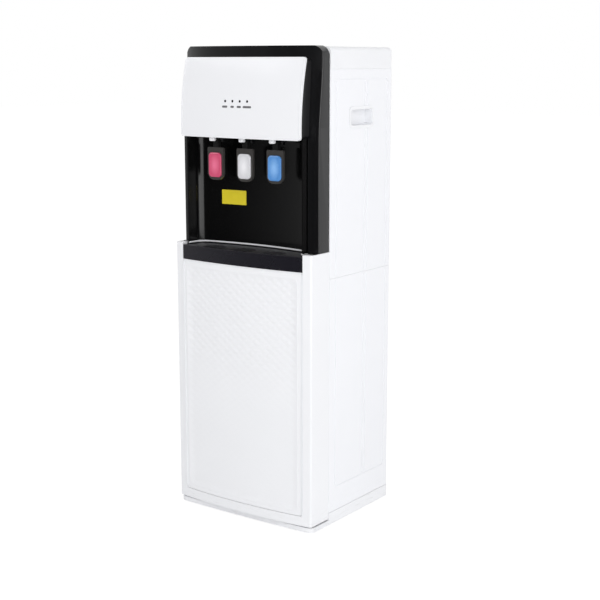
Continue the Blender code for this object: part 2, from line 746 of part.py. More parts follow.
def vent_box(margin):
    x, z = VENT_CENTRE[0], MID_SEAM + VENT_CENTRE[1]
    w, h = VENT_SIZE[0] / 2 - margin, VENT_SIZE[1] / 2 - margin
    return (x - w, BACK_PANEL - VENT_DEPTH, z - h), (x + w, BACK_PANEL + VENT_DEPTH, z + h)


def switch_box(grow):
    x, z = SWITCH_CENTRE[0], MID_SEAM + SWITCH_CENTRE[1]
    w, h = SWITCH_PLATE[0] / 2 + grow, SWITCH_PLATE[2] / 2 + grow
    return (x - w, BACK_PANEL - OVERCUT, z - h), (x + w, BACK_PANEL + OVERCUT, z + h)


def build_back_fittings():
    build_cooling_grille()
    build_switches()
    r, length = GLAND_RADIUS, GLAND_LENGTH
    cone, bore = r * GLAND_CONE_SHARE, r * GLAND_BORE_SHARE
    profile = [(0, GLAND_NUT), (bore, GLAND_NUT), (bore, length), (cone, length)]
    profile += [(r, GLAND_NUT), (r, 0), (r / 2, 0), (r / 2, -FITTING_NECK), (0, -FITTING_NECK)]
    centre = (GLAND_CENTRE[0], BACK_PANEL + BACK_SHEET + FIT, GLAND_CENTRE[1])
    turned("cord_gland", profile, centre, "black", SIDES, "Y")
    r, length = DRAIN_RADIUS, DRAIN_LENGTH
    profile = [(0, length), (r - EDGE, length), (r, length - EDGE), (r, 0)]
    profile += [(r / 2, 0), (r / 2, -FITTING_NECK), (0, -FITTING_NECK)]
    for name, x in zip(("hot", "cold"), DRAIN_PLACES):
        centre = (x, BACK_PANEL + BACK_SHEET + FIT, MID_SEAM + DRAIN_LEVEL + DRAIN_RADIUS)
        turned("drain_cap_" + name, profile, centre, "rubber", SIDES, "Y")


def build_cooling_grille():
    grille = box("cooling_grille", *vent_box(FIT), "black")
    round_edges(grille, EDGE / 2)
    low, high = vent_box(VENT_FRAME)
    pitch = (high[0] - low[0]) / VENT_SLOTS
    wide = pitch * VENT_SLOT_SHARE
    for number in range(VENT_SLOTS):
        x = low[0] + pitch * (number + VENT_SLOT_SHARE / 2)
        corners = (x, low[1] - OVERCUT, low[2]), (x + wide, high[1] + OVERCUT, high[2])
        cut(grille, box(f"vent_slot_{number}", *corners))


def build_switches():
    """The plate on the back and the two rockers in it."""
    x, z = SWITCH_CENTRE[0], MID_SEAM + SWITCH_CENTRE[1]
    back = BACK_PANEL + BACK_SHEET + FIT
    w, h = SWITCH_PLATE[0] / 2, SWITCH_PLATE[2] / 2
    plate = box("switch_plate", (x - w, back, z - h), (x + w, back + SWITCH_PLATE[1], z + h), "black")
    round_edges(plate, EDGE / 2)
    inset = SWITCH_LIP + FIT
    neck_low = (x - w + inset, BACK_PANEL - ROCKER_DEPTH, z - h + inset)
    join(plate, box("switch_neck", neck_low, (x + w - inset, back + FIT, z + h - inset)))
    pivot_y = back + SWITCH_PLATE[1] - ROCKER_DEPTH / 2
    half_width, half_height = ROCKER_SIZE[0] / 2, ROCKER_SIZE[1] / 2
    well_half, well_high = half_width + FIT, half_height + ROCKER_CLEARANCE
    for name, sign in (("hot", -1), ("cold", 1)):
        middle = x + sign * ROCKER_PITCH / 2
        low = (middle - well_half, pivot_y - ROCKER_DEPTH, z - well_high)
        cut(plate, box(f"rocker_well_{name}", low, (middle + well_half, back + OVERCUT, z + well_high)))
        build_rocker(name, (middle, pivot_y, z), half_width, half_height)


def build_rocker(name, centre, half_width, half_height):
    """A rocker with two sloping halves, which turns about a level pin through its middle."""
    peak = ROCKER_DEPTH / 2
    valley = peak - half_height * math.sin(ROCKER_TILT)
    outline = [(-peak, -half_height), (-peak, half_height), (peak, half_height), (valley, 0)]
    outline += [(peak, -half_height)]
    rocker = slab("rocker_" + name, outline, -half_width, half_width, "X", "rocker_" + name)
    rocker.location = centre
    rocker.rotation_euler = (ROCKER_TILT, 0, 0)
    round_edges(rocker, EDGE / 2)


def build_cover():
    points = arc_points((HALF - COVER_CORNER, REAR - COVER_CORNER), COVER_CORNER, 0, 90, 5)
    points += arc_points((-HALF + COVER_CORNER, REAR - COVER_CORNER), COVER_CORNER, 90, 180, 5)
    points += [(-HALF, SURROUND_BACK + FIT), (HALF, SURROUND_BACK + FIT)]
    cover = slab("top_cover", points, COVER_BOTTOM, COVER_TOP, "Z", "white")
    round_edges(cover, COVER_EDGE, 2)
    under = box(
        "cover_under",
        (-HALF + COVER_WALL, SURROUND_BACK + COVER_WALL, COVER_BOTTOM - OVERCUT),
        (HALF - COVER_WALL, REAR - COVER_WALL, COVER_TOP - COVER_WALL),
    )
    cut(cover, under)


def build_door():
    edge = DOOR_HALF - DOOR_ROUND
    front = [(x, lower_front(x)) for x in spread(0, edge, STEPS)]
    front += arc_points((edge, lower_front(edge) + DOOR_ROUND), DOOR_ROUND, 285, 360, 4)
    front += [(DOOR_HALF, DOOR_REAR)]
    rim = slab("door_rim", mirrored(front)[:-1], DOOR_BOTTOM, DOOR_TOP, "Z", "white")
    corners = (DOOR_FOOT_CORNER, DOOR_FOOT_CORNER, DOOR_HEAD_CORNER, DOOR_HEAD_CORNER)
    outline = rounded((-DOOR_HALF, DOOR_BOTTOM), (DOOR_HALF, DOOR_TOP), corners)
    combine(rim, [slab("door_outline", outline, FRONT - OVERCUT, DOOR_REAR + OVERCUT, "Y")], "INTERSECT")
    round_edges(rim, EDGE)
    half, low, high = DOOR_HALF - DOOR_RIM, DOOR_BOTTOM + DOOR_RIM, DOOR_TOP - DOOR_RIM
    opening_outline = rounded((-half, low), (half, high), PANEL_CORNER)
    cut(rim, slab("door_opening", opening_outline, FRONT - OVERCUT, DOOR_REAR + OVERCUT, "Y"))
    reach = PIN_REACH + FIT
    cut(rim, pin_hole("door_top", DOOR_TOP - reach, DOOR_TOP + OVERCUT))
    cut(rim, pin_hole("door_foot", DOOR_BOTTOM - OVERCUT, DOOR_BOTTOM + reach))
    build_quilted_panel(half - FIT, low + FIT, high - FIT)
    build_liner()
    build_pins()


def build_liner():
    """The door's inner sheet, with a pressed field and the tongue of the catch."""
    face, back = DOOR_REAR + FIT, DOOR_REAR + FIT + LINER
    half, low, high = DOOR_HALF - LINER_MARGIN, DOOR_BOTTOM + LINER_MARGIN, DOOR_TOP - LINER_MARGIN
    liner = box("door_liner", (-half, face, low), (half, back, high), "white")
    border = LINER_BORDER
    field = rounded((-half + border, low + border), (half - border, high - border), PANEL_CORNER)
    cut(liner, slab("liner_field", field, back - LINER_PRESS, back + OVERCUT, "Y"))
    join(liner, build_catch())


def build_quilted_panel(half, low, high):
    """The bowed panel with raised lozenges, which fade out downward."""
    columns = spread(-half, half, 2 * QUILT_COLUMNS)
    rows = spread(low, high, 2 * QUILT_ROWS)
    step_x, step_z = columns[1] - columns[0], rows[1] - rows[0]

    def face(x, z):
        i, k = round((x + half) / step_x), round((z - low) / step_z)
        border = i in (0, 2 * QUILT_COLUMNS) or k in (0, 2 * QUILT_ROWS)
        fade_start, fade_end = QUILT_FADE_SHARES
        rise = ((z - low) / (high - low) - fade_start) / (fade_end - fade_start)
        rise = min(1.0, max(0.0, rise))
        share = QUILT_LEAST_SHARE + (1 - QUILT_LEAST_SHARE) * rise
        raised = 0 if border or (i + k) % 2 else QUILT_HEIGHT * share
        return lower_front(x) + PANEL_SEAT + QUILT_HEIGHT - raised

    def back(x, z):
        return lower_front(x) + PANEL_SEAT + QUILT_HEIGHT + PANEL_THICKNESS

    panel = curved_plate("door_panel", columns, rows, face, back, "white", (0, 2 * QUILT_ROWS), True)
    outline = rounded((-half, low), (half, high), PANEL_CORNER - FIT)
    trim = slab("panel_outline", outline, FRONT - OVERCUT, DOOR_REAR + OVERCUT, "Y")
    combine(panel, [trim], "INTERSECT")


def build_pins():
    for name, low, high in (
        ("upper", DOOR_TOP - PIN_REACH, DECK_TOP - FIT),
        ("lower", RAIL_TOP - PIN_SINK + FIT, DOOR_BOTTOM + PIN_REACH),
    ):
        centre = (*pin_place(), (low + high) / 2)
        pin = drum("hinge_pin_" + name, centre, PIN_RADIUS, high - low, "Z", "steel", 16)
        round_edges(pin, EDGE / 3)


def build_catch():
    """A push catch behind the left pillar. It returns the tongue that it holds, which sits on the door."""
    z = (DOOR_BOTTOM + DOOR_TOP) / 2
    tx, ty, tz = TONGUE_SIZE
    x = -(DOOR_HALF - DOOR_RIM + tx / 2)
    root = DOOR_REAR + FIT + LINER / 2
    tongue = box("catch_tongue", (x - tx / 2, root, z - tz / 2), (x + tx / 2, root + ty, z + tz / 2))
    cx, cy, cz = CATCH_SIZE
    start = PILLAR_REAR + FIT
    right = x + CATCH_SLOT
    catch = box("push_catch", (right - cx, start, z - cz / 2), (right, start + cy, z + cz / 2), "grey")
    round_edges(catch, EDGE / 2)
    slot_half = CATCH_SLOT / 2
    slot_low = (x - slot_half, start - OVERCUT, z - tz)
    cut(catch, box("catch_slot", slot_low, (x + slot_half, start + cy - SKIN, z + tz)))
    return tongue


def surround_front(x):
    """Y of the black surround's front below the level where its sides sweep back."""
    return UPPER_FRONT + SURROUND_BOW * (x / SURROUND_HALF) ** 2


def build_surround():
    half, straight = SURROUND_HALF, SURROUND_HALF - SURROUND_EDGE
    half_line = [(x, surround_front(x)) for x in spread(0, straight, 2 * STEPS)]
    corner = (straight, surround_front(straight) + SURROUND_EDGE)
    half_line += arc_points(corner, SURROUND_EDGE, 300, 360, 3) + [(half, SURROUND_BACK)]
    surround = slab("surround", mirrored(half_line)[:-1], SURROUND_BOTTOM, HEIGHT, "Z", "black")
    lean(surround)
    radii = (EDGE, EDGE, SURROUND_CORNER, SURROUND_CORNER)
    low, high = (-half - EDGE, SURROUND_BOTTOM - OVERCUT), (half + EDGE, HEIGHT + EDGE)
    outline = rounded(low, high, radii, 6)
    shoulders = slab("surround_shoulders", outline, FRONT - OVERCUT, SURROUND_BACK + OVERCUT, "Y")
    combine(surround, [shoulders], "INTERSECT")
    hollow = box(
        "surround_opening",
        (-BAR_INNER - FIT, FRONT - OVERCUT, SURROUND_BOTTOM - OVERCUT),
        (BAR_INNER + FIT, SURROUND_BACK + OVERCUT, BOX_TOP + FIT),
    )
    cut(surround, hollow)
    round_edges(surround, EDGE, 2, math.radians(60))


def build_niche():
    niche = slab("niche_wall", niche_band(SKIN, 0), SURROUND_BOTTOM, CEILING - FIT, "Z", "gloss_black")
    smooth(niche)


def visor_face(x, z):
    """Y of the white visor's front: it leans back as it rises, with a bulge below, and is bowed across."""
    t = (z - VISOR_BOTTOM) / VISOR_HEIGHT
    side = FRONT + VISOR_SETBACK - VISOR_BULGE * t + VISOR_LEAN * t * t
    return side - VISOR_BOW * (1 - (x / VISOR_HALF) ** 2)


def visor_back(x, z):
    return visor_face(x, z) + VISOR_THICKNESS


def build_visor():
    over = VISOR_CORNER
    columns = spread(-VISOR_HALF - over, VISOR_HALF + over, STEPS)
    rows = spread(VISOR_BOTTOM - over, VISOR_TOP + over, STEPS)
    visor = curved_plate("visor", columns, rows, visor_face, visor_back, "gloss_white")
    outer = rounded((-VISOR_HALF, VISOR_BOTTOM), (VISOR_HALF, VISOR_TOP), VISOR_CORNER)
    combine(visor, [slab("visor_outline", outer, FRONT - OVERCUT, NICHE_BACK, "Y")], "INTERSECT")
    rim = VISOR_RIM
    low, high = (-VISOR_HALF + rim, VISOR_BOTTOM + rim), (VISOR_HALF - rim, VISOR_TOP - rim)
    inner = rounded(low, high, VISOR_CORNER - rim / 2)
    recess = slab("visor_recess", inner, FRONT - 2 * OVERCUT, NICHE_BACK, "Y")
    front = curved_plate(
        "visor_front",
        columns,
        rows,
        lambda x, z: visor_face(x, z) - OVERCUT,
        lambda x, z: visor_face(x, z) + VISOR_RIM_HEIGHT,
    )
    combine(recess, [front], "INTERSECT")
    cut(visor, recess)
    build_lamps(visor)
    build_visor_box()


def build_visor_box():
    """The body behind the visor, which holds the taps and their valves, open at its back."""
    holder = curved_plate(
        "visor_box",
        spread(-BAR_INNER, BAR_INNER, STEPS),
        spread(CEILING, BOX_TOP, STEPS),
        lambda x, z: visor_back(x, z) + FIT,
        lambda x, z: SURROUND_BACK - OVERCUT,
        "black",
        (0, STEPS),
    )
    inner = VISOR_HALF - SIDE_BAR
    front = visor_back(VISOR_HALF, VISOR_TOP) + SKIN
    low, high = (-inner, front, CEILING + BOX_FLOOR), (inner, SURROUND_BACK + OVERCUT, BOX_TOP - SKIN)
    cut(holder, box("visor_box_hollow", low, high))


def build_lamps(visor):
    r, root = LAMP_RADIUS, EDGE / 2 - VISOR_THICKNESS
    profile = [(0, 0), (r * LAMP_FACE_SHARE, -EDGE / 4), (r, -EDGE), (r, root), (0, root)]
    first = LAMP_MIDDLE - LAMP_PITCH * (len(LAMP_COLOURS) - 1) / 2
    for number, colour in enumerate(LAMP_COLOURS):
        x = first + LAMP_PITCH * number
        y = visor_face(x, LAMP_LEVEL)
        hole = drum(f"lamp_hole_{number}", (x, y, LAMP_LEVEL), LAMP_RADIUS + FIT, 2 * OVERCUT, "Y", None, 12)
        cut(visor, hole)
        lamp = turned(f"lamp_{number + 1}", profile, (x, y + FIT, LAMP_LEVEL), colour, 12)
        lamp.rotation_euler = (math.pi / 2, 0, 0)


def build_taps():
    for name, number, colour in (("hot", -1, "red"), ("room", 0, "clear"), ("cold", 1, "blue")):
        build_tap(name, number * TAP_PITCH, colour)


def build_tap(name, x, colour):
    """One tap: its body under the ceiling, the outlet, the hanging lever and its coloured insert."""
    nozzle_y = FRONT + NOZZLE_SETBACK
    top = CEILING - FIT
    width, depth, height = TAP_BODY
    start = nozzle_y + NOZZLE_RADIUS + FIT
    half = width / 2
    body = box("tap_body_" + name, (x - half, start, top - height), (x + half, start + depth, top), "black")
    lever_front = FRONT + LEVER_SETBACK
    pivot = (x, lever_front + LEVER_PIVOT_BACK, CEILING - LEVER_PIVOT_DROP)
    ear_low, ear_high = (pivot[1] - LEVER_BARREL, top - TAP_EAR_DROP), (pivot[1] + LEVER_BARREL, top - EDGE)
    ear_outline = rounded(ear_low, ear_high, (LEVER_BARREL - EDGE, LEVER_BARREL - EDGE, EDGE, EDGE))
    for sign in (-1, 1):
        reach = sorted((x + sign * half, x + sign * (half - TAP_EAR)))
        join(body, slab(f"tap_ear_{name}_{sign + 1}", ear_outline, *reach, "X"))
    cut(body, drum("tap_bore_" + name, pivot, TRUNNION_RADIUS + FIT, 2 * width, "X", None, 16))
    mouth = top - NOZZLE_LENGTH
    r = NOZZLE_RADIUS
    profile = [(0, top), (r, top), (r, mouth + 2 * EDGE), (r - EDGE, mouth)]
    profile += [(NOZZLE_BORE, mouth), (NOZZLE_BORE, top - EDGE), (0, top - EDGE)]
    turned("tap_outlet_" + name, profile, (x, nozzle_y, 0), "gloss_white")
    build_lever(name, lever_front, pivot, colour)


def build_lever(name, front, pivot, colour):
    """The lever hangs from its pivot, and its places are counted from there."""
    half = LEVER_WIDTH / 2
    low, high = LEVER_BOTTOM - pivot[2], LEVER_TOP - pivot[2]
    radii = (LEVER_BOTTOM_CORNER, LEVER_BOTTOM_CORNER, LEVER_TOP_CORNER, LEVER_TOP_CORNER)
    y0 = front - pivot[1]
    outline = rounded((-half, low), (half, high), radii, 5)
    lever = slab("lever_" + name, outline, y0, y0 + LEVER_THICKNESS, "Y", "grey")
    round_edges(lever)
    neck_half = LEVER_NECK / 2
    neck_low = (-neck_half, y0 + EDGE, high - LEVER_NECK)
    neck = box("lever_neck_" + name, neck_low, (neck_half, LEVER_BARREL / 2, 0))
    barrel = drum("lever_barrel_" + name, (0, 0, 0), LEVER_BARREL, LEVER_NECK, "X", None, 16)
    trunnion_length = TAP_BODY[0] - 2 * FIT
    trunnion = drum("lever_trunnion_" + name, (0, 0, 0), TRUNNION_RADIUS, trunnion_length, "X", None, 16)
    insert_half = INSERT_WIDTH / 2
    insert_low, insert_high = low + INSERT_MARGIN, high - INSERT_TOP_MARGIN
    insert_outline = rounded((-insert_half, insert_low), (insert_half, insert_high), INSERT_CORNER, 4)
    insert = slab("insert_" + name, insert_outline, y0 - INSERT_PROUD, y0 + INSERT_SINK, "Y", colour)
    round_edges(insert)
    pocket_low, pocket_high = (-insert_half - FIT, insert_low - FIT), (insert_half + FIT, insert_high + FIT)
    pocket_outline = rounded(pocket_low, pocket_high, INSERT_CORNER + FIT, 4)
    pocket = slab("lever_pocket_" + name, pocket_outline, y0 - OVERCUT, y0 + INSERT_SINK + FIT, "Y")
    for piece in (lever, neck, barrel, trunnion, insert, pocket):
        piece.location = pivot
    join(lever, neck, barrel, trunnion)
    cut(lever, pocket)


def tray_outline(inset):
    """Plan of the drip tray, the whole outline, moved in by an inset."""
    side = DOOR_HALF - inset
    front = [(x, lower_front(x) + inset) for x in spread(0, side, STEPS)]
    back = list(reversed(niche_line(RIM_FORWARD + TRAY_CLEARANCE + inset)))
    corner_y = min(PILLAR_REAR, back[0][1]) - inset
    half_line = front + [(side, corner_y), (back[0][0], corner_y)] + back[1:]
    return mirrored(half_line)[:-2]


def build_tray():
    tray = slab("drip_tray", tray_outline(0), TRAY_BOTTOM, TRAY_TOP, "Z", "black")
    basin = slab("tray_basin", tray_outline(TRAY_WALL), TRAY_BOTTOM + TRAY_WALL, TRAY_TOP + OVERCUT)
    ledge_inset = TRAY_WALL - TRAY_LEDGE / 2
    grille_low = TRAY_TOP - GRILLE_THICKNESS
    ledge = slab("tray_ledge", tray_outline(ledge_inset), grille_low - FIT, TRAY_TOP + OVERCUT)
    cut(tray, basin, ledge)
    grille = slab("drip_grille", tray_outline(ledge_inset + FIT), grille_low, TRAY_TOP, "Z", "dark")
    middle = FRONT + NOZZLE_SETBACK + GRILLE_FIELD_BACK
    slot_half = GRILLE_SLOT / 2
    for group in (-1, 0, 1):
        for number in range(GRILLE_SLOTS):
            off = GRILLE_PITCH * (number - (GRILLE_SLOTS - 1) / 2)
            length = math.sqrt(GRILLE_FIELD * GRILLE_FIELD - off * off)
            x = group * TAP_PITCH + off
            low, high = (x - slot_half, middle - length), (x + slot_half, middle + length)
            outline = rounded(low, high, slot_half - FIT, 2)
            name = f"grille_slot_{group + 1}_{number}"
            cut(grille, slab(name, outline, TRAY_TOP - OVERCUT, TRAY_TOP + OVERCUT))


def build_inside():
    """Tanks, pump, cooler and the suction probe with its hose."""
    low = DECK_TOP + FIT
    for name, radius, height, centre, colour in (
        ("hot_tank", HOT_RADIUS, HOT_HEIGHT, HOT_CENTRE, "steel"),
        ("cold_tank", COLD_RADIUS, COLD_HEIGHT, COLD_CENTRE, "foam"),
    ):
        high = low + height
        profile = [(0, high), (radius * DOME_WIDTH_SHARE, high - TANK_DOME * DOME_FALL_SHARE)]
        profile += [(radius, high - TANK_DOME), (radius, low + TANK_FOOT)]
        profile += [(radius - TANK_FOOT, low), (0, low)]
        turned(name, profile, (*centre, 0), colour)
    px, py, pz = PUMP_SIZE
    cx, cy = PUMP_PLACE, BACK_PANEL - PUMP_GAP - py / 2
    pump = box("pump", (cx - px / 2, cy - py / 2, low), (cx + px / 2, cy + py / 2, low + pz), "grey")
    round_edges(pump, 2 * EDGE)
    head_radius, head_height = PUMP_HEAD
    join(pump, drum("pump_head", (cx, cy, low + pz), head_radius, 2 * head_height, "Z"))
    build_cooler()
    build_probe()


def build_cooler():
    """The finned block behind the cooling grille."""
    width, depth, height = COOLER_SIZE
    x, z = VENT_CENTRE[0], MID_SEAM + VENT_CENTRE[1]
    back = BACK_PANEL - VENT_DEPTH - FIT
    front = back - depth
    corners = (x - width / 2, front, z - height / 2), (x + width / 2, back, z + height / 2)
    cooler = box("cooler", *corners, "aluminium")
    pitch = width / COOLER_FINS
    wide = pitch * (1 - COOLER_FIN_SHARE)
    for number in range(COOLER_FINS - 1):
        start = x - width / 2 + pitch * (number + 1) - wide / 2
        slot_low = (start, front + COOLER_BASE, z - height)
        cut(cooler, box(f"cooler_slot_{number}", slot_low, (start + wide, back + OVERCUT, z + height)))


def build_probe():
    """The probe for the bottle, parked in its holder, with the hose up to the pump."""
    x, y = PROBE_CENTRE
    cap_top = DECK_UNDER - PROBE_DROP
    cap_low = cap_top - PROBE_CAP_HEIGHT
    cap_roof = cap_top - 2 * SKIN
    r = PROBE_CAP_RADIUS
    step = r * PROBE_CAP_STEP_SHARE
    profile = [(0, cap_top), (step, cap_top), (step + EDGE, cap_top - EDGE), (r - EDGE, cap_top - 2 * EDGE)]
    profile += [(r, cap_top - 3 * EDGE), (r, cap_low), (r - SKIN, cap_low)]
    profile += [(r - SKIN, cap_roof), (0, cap_roof)]
    turned("probe_cap", profile, (x, y, 0), "cap_blue")
    top = cap_roof - FIT
    low = top - PROBE_LENGTH
    rod_radius = PROBE_RADIUS
    rod = [(0, top), (rod_radius, top), (rod_radius, low + rod_radius), (rod_radius / 2, low), (0, low)]
    turned("suction_probe", rod, (x, y, 0), "steel", 16)
    hose_low, hose_high = cap_top + FIT, DECK_TOP - FIT
    bend_low, bend_high = hose_low + 2 * HOSE_RADIUS, hose_high - DECK_THICKNESS - HOSE_RADIUS
    path = [(x, y, hose_low)]
    for t in spread(0, 1, STEPS):
        path.append((x + HOSE_SWAY * math.sin(math.pi * t) ** 2, y, bend_low + (bend_high - bend_low) * t))
    path.append((x, y, hose_high))
    tube("suction_hose", path, HOSE_RADIUS, "clear")
    holder_top = cap_low - FIT
    outer = r - SKIN
    right = x + HOLDER_MARGIN
    outline = [(-INNER_HALF, y - outer), (right, y - outer), (right, y + outer), (-INNER_HALF, y + outer)]
    holder = slab("probe_holder", outline, holder_top - HOLDER_THICKNESS, holder_top, "Z", "white")
    slot_half = HOLDER_SLOT / 2
    slot_low = (x - slot_half, y - slot_half, holder_top - HOLDER_THICKNESS - OVERCUT)
    cut(holder, box("holder_slot", slot_low, (right + OVERCUT, y + slot_half, holder_top + OVERCUT)))


def make_paints():
    paint("white", (0.87, 0.87, 0.89), 0.38)
    paint("gloss_white", (0.88, 0.88, 0.89), 0.16)
    paint("back", (0.80, 0.80, 0.81), 0.55)
    paint("black", (0.016, 0.016, 0.018), 0.34)
    paint("gloss_black", (0.007, 0.007, 0.008), 0.12)
    paint("dark", (0.035, 0.035, 0.038), 0.45)
    paint("grey", (0.11, 0.11, 0.12), 0.40)
    paint("rubber", (0.03, 0.03, 0.03), 0.80)
    paint("steel", (0.62, 0.62, 0.63), 0.28, 1.0)
    paint("aluminium", (0.70, 0.70, 0.71), 0.40, 1.0)
    paint("foam", (0.86, 0.86, 0.84), 0.85)
    paint("red", (0.78, 0.14, 0.25), 0.25)
    paint("rocker_hot", (0.60, 0.05, 0.05), 0.35)
    paint("rocker_cold", (0.04, 0.16, 0.50), 0.35)
    paint("blue", (0.20, 0.46, 0.84), 0.25)
    paint("clear", (0.84, 0.84, 0.86), 0.25)
    paint("cap_blue", (0.06, 0.20, 0.55), 0.40)
    paint("lamp_red", (0.35, 0.02, 0.02), 0.20)
    paint("lamp_green", (0.02, 0.25, 0.05), 0.20)
    paint("lamp_blue", (0.02, 0.08, 0.35), 0.20)
    paint("lamp_amber", (0.35, 0.15, 0.02), 0.20)


def main():
    start()
    make_paints()
    build_base()
    build_front_frame()
    build_sides()
    build_shelf()
    build_deck()
    build_backs()
    build_back_fittings()
    build_cover()
    build_door()
    build_surround()
    build_niche()
    build_visor()
    build_taps()
    build_tray()
    build_inside()


main()
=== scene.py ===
# %% [markdown]
# # A water dispenser, dressed for a photograph
# The solids of the dispenser come from the CAD frame: a cabinet with a hinged door, a black
# surround with three lever taps, a white visor and a drip tray. This lesson leaves their sizes
# alone. It gives each one soft edges, a finish with grain and small marks, and the fine pieces
# that a CAD model leaves out.

# %% Load the frame
import json
import math

import bmesh
import bpy
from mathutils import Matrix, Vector
from mathutils.bvhtree import BVHTree


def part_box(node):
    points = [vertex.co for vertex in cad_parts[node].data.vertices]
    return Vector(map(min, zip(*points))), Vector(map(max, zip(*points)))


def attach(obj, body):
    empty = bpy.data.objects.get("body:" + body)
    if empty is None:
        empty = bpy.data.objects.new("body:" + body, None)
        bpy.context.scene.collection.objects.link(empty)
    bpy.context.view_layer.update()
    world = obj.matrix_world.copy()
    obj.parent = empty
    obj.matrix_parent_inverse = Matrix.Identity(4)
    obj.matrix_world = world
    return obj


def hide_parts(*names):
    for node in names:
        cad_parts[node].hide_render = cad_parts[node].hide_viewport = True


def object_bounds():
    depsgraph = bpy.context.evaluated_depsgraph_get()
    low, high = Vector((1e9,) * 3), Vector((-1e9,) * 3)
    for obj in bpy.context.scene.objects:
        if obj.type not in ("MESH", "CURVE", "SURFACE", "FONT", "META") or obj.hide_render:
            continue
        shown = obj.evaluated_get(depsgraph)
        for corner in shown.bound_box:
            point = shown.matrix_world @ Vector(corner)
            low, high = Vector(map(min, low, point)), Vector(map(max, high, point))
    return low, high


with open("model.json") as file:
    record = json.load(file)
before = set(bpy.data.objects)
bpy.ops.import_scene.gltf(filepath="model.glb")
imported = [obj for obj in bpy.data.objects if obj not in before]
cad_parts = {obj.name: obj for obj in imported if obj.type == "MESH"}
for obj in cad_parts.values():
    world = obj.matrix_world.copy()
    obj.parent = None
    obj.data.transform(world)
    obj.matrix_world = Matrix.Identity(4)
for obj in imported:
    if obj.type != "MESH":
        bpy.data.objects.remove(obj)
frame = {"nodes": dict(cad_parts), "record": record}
NODES = frame["nodes"]
CAD_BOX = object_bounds()
BODY_OF = {node: body for body, members in frame["record"]["behaviour"]["bodies"].items() for node in members}
SLOT_OF = {row["node"]: row["material_slot"] for row in frame["record"]["subparts"]}

# %% [markdown]
# ## The camera
# The photograph looks at the dispenser from its front right and a little above, with a long lens
# that keeps the uprights nearly parallel. The camera's place was worked out from the edges of the
# cabinet, so that the render can be laid over the photograph.

# %% Place the camera
CAMERA_PLACE = Vector((1.6538, -2.2170, 1.0068))
CAMERA_TURN = math.radians(35.8904)
CAMERA_DROP = math.radians(10.8854)
CAMERA_LENS_MM = 74.3115
SENSOR_MM = 36

camera = bpy.data.objects.new("camera", bpy.data.cameras.new("camera"))
bpy.context.scene.collection.objects.link(camera)
level = math.cos(CAMERA_DROP)
ahead = Vector((-math.sin(CAMERA_TURN) * level, math.cos(CAMERA_TURN) * level, -math.sin(CAMERA_DROP)))
camera.location = CAMERA_PLACE
camera.rotation_euler = ahead.to_track_quat("-Z", "Y").to_euler()
camera.data.lens = CAMERA_LENS_MM
camera.data.sensor_width = SENSOR_MM
bpy.context.scene.camera = camera
print("camera looks along", [round(part, 3) for part in ahead])

# %% [markdown]
# ## Helpers for building materials
# A node tree is easier to read when each node is one call. `add` makes a node, sets its options,
# and fills its inputs: a plain value is typed in, and a socket is linked.

# %% Make and link nodes
def add(tree, kind, inputs=None, **options):
    """Makes one node. An input may be a value or another node's socket."""
    node = tree.nodes.new(kind)
    for name, value in options.items():
        setattr(node, name, value)
    for name, value in (inputs or {}).items():
        if isinstance(value, bpy.types.NodeSocket):
            tree.links.new(value, node.inputs[name])
        else:
            node.inputs[name].default_value = value
    return node


def math_node(tree, operation, first, second=0.0):
    """One sum, with its result."""
    return add(tree, "ShaderNodeMath", {0: first, 1: second}, operation=operation).outputs[0]


def ramp(tree, value, low, high, start=0.0, end=1.0):
    """Turns the range from low to high into the range from start to end, and clamps it."""
    inputs = {"Value": value, "From Min": low, "From Max": high, "To Min": start, "To Max": end}
    return add(tree, "ShaderNodeMapRange", inputs).outputs["Result"]


def blend_colour(tree, share, below, above):
    """Mixes two colours by a share."""
    node = add(tree, "ShaderNodeMix", data_type="RGBA")
    for socket, value in zip((node.inputs[0], node.inputs[6], node.inputs[7]), (share, below, above)):
        if isinstance(value, bpy.types.NodeSocket):
            tree.links.new(value, socket)
        else:
            socket.default_value = value
    return node.outputs[2]


def noise(tree, point, scale, detail=2.0):
    """Soft noise from 0 to 1, with as many waves to the metre as its scale."""
    inputs = {"Vector": point, "Scale": scale, "Detail": detail, "Roughness": 0.5}
    return add(tree, "ShaderNodeTexNoise", inputs).outputs[0]


def stretched(tree, point, scales):
    """The same point, with each axis scaled by its own factor."""
    return add(tree, "ShaderNodeMapping", {"Vector": point, "Scale": scales}).outputs[0]


def new_group(name, inputs, outputs):
    """An empty node group with named inputs and outputs."""
    group = bpy.data.node_groups.new(name, "ShaderNodeTree")
    for label, kind, value in inputs:
        socket = group.interface.new_socket(label, in_out="INPUT", socket_type="NodeSocket" + kind)
        socket.default_value = value
    for label, kind in outputs:
        group.interface.new_socket(label, in_out="OUTPUT", socket_type="NodeSocket" + kind)
    return group, group.nodes.new("NodeGroupInput"), group.nodes.new("NodeGroupOutput")


# %% [markdown]
# ## Moulded grain
# Injection-moulded plastic is never one flat colour. The pellets mix unevenly, so the tone drifts
# over a hand's width. The mould's spark-eroded skin leaves a grain well under a millimetre, and
# hands polish it here and there. One group gives all three, and each material sets how strong.

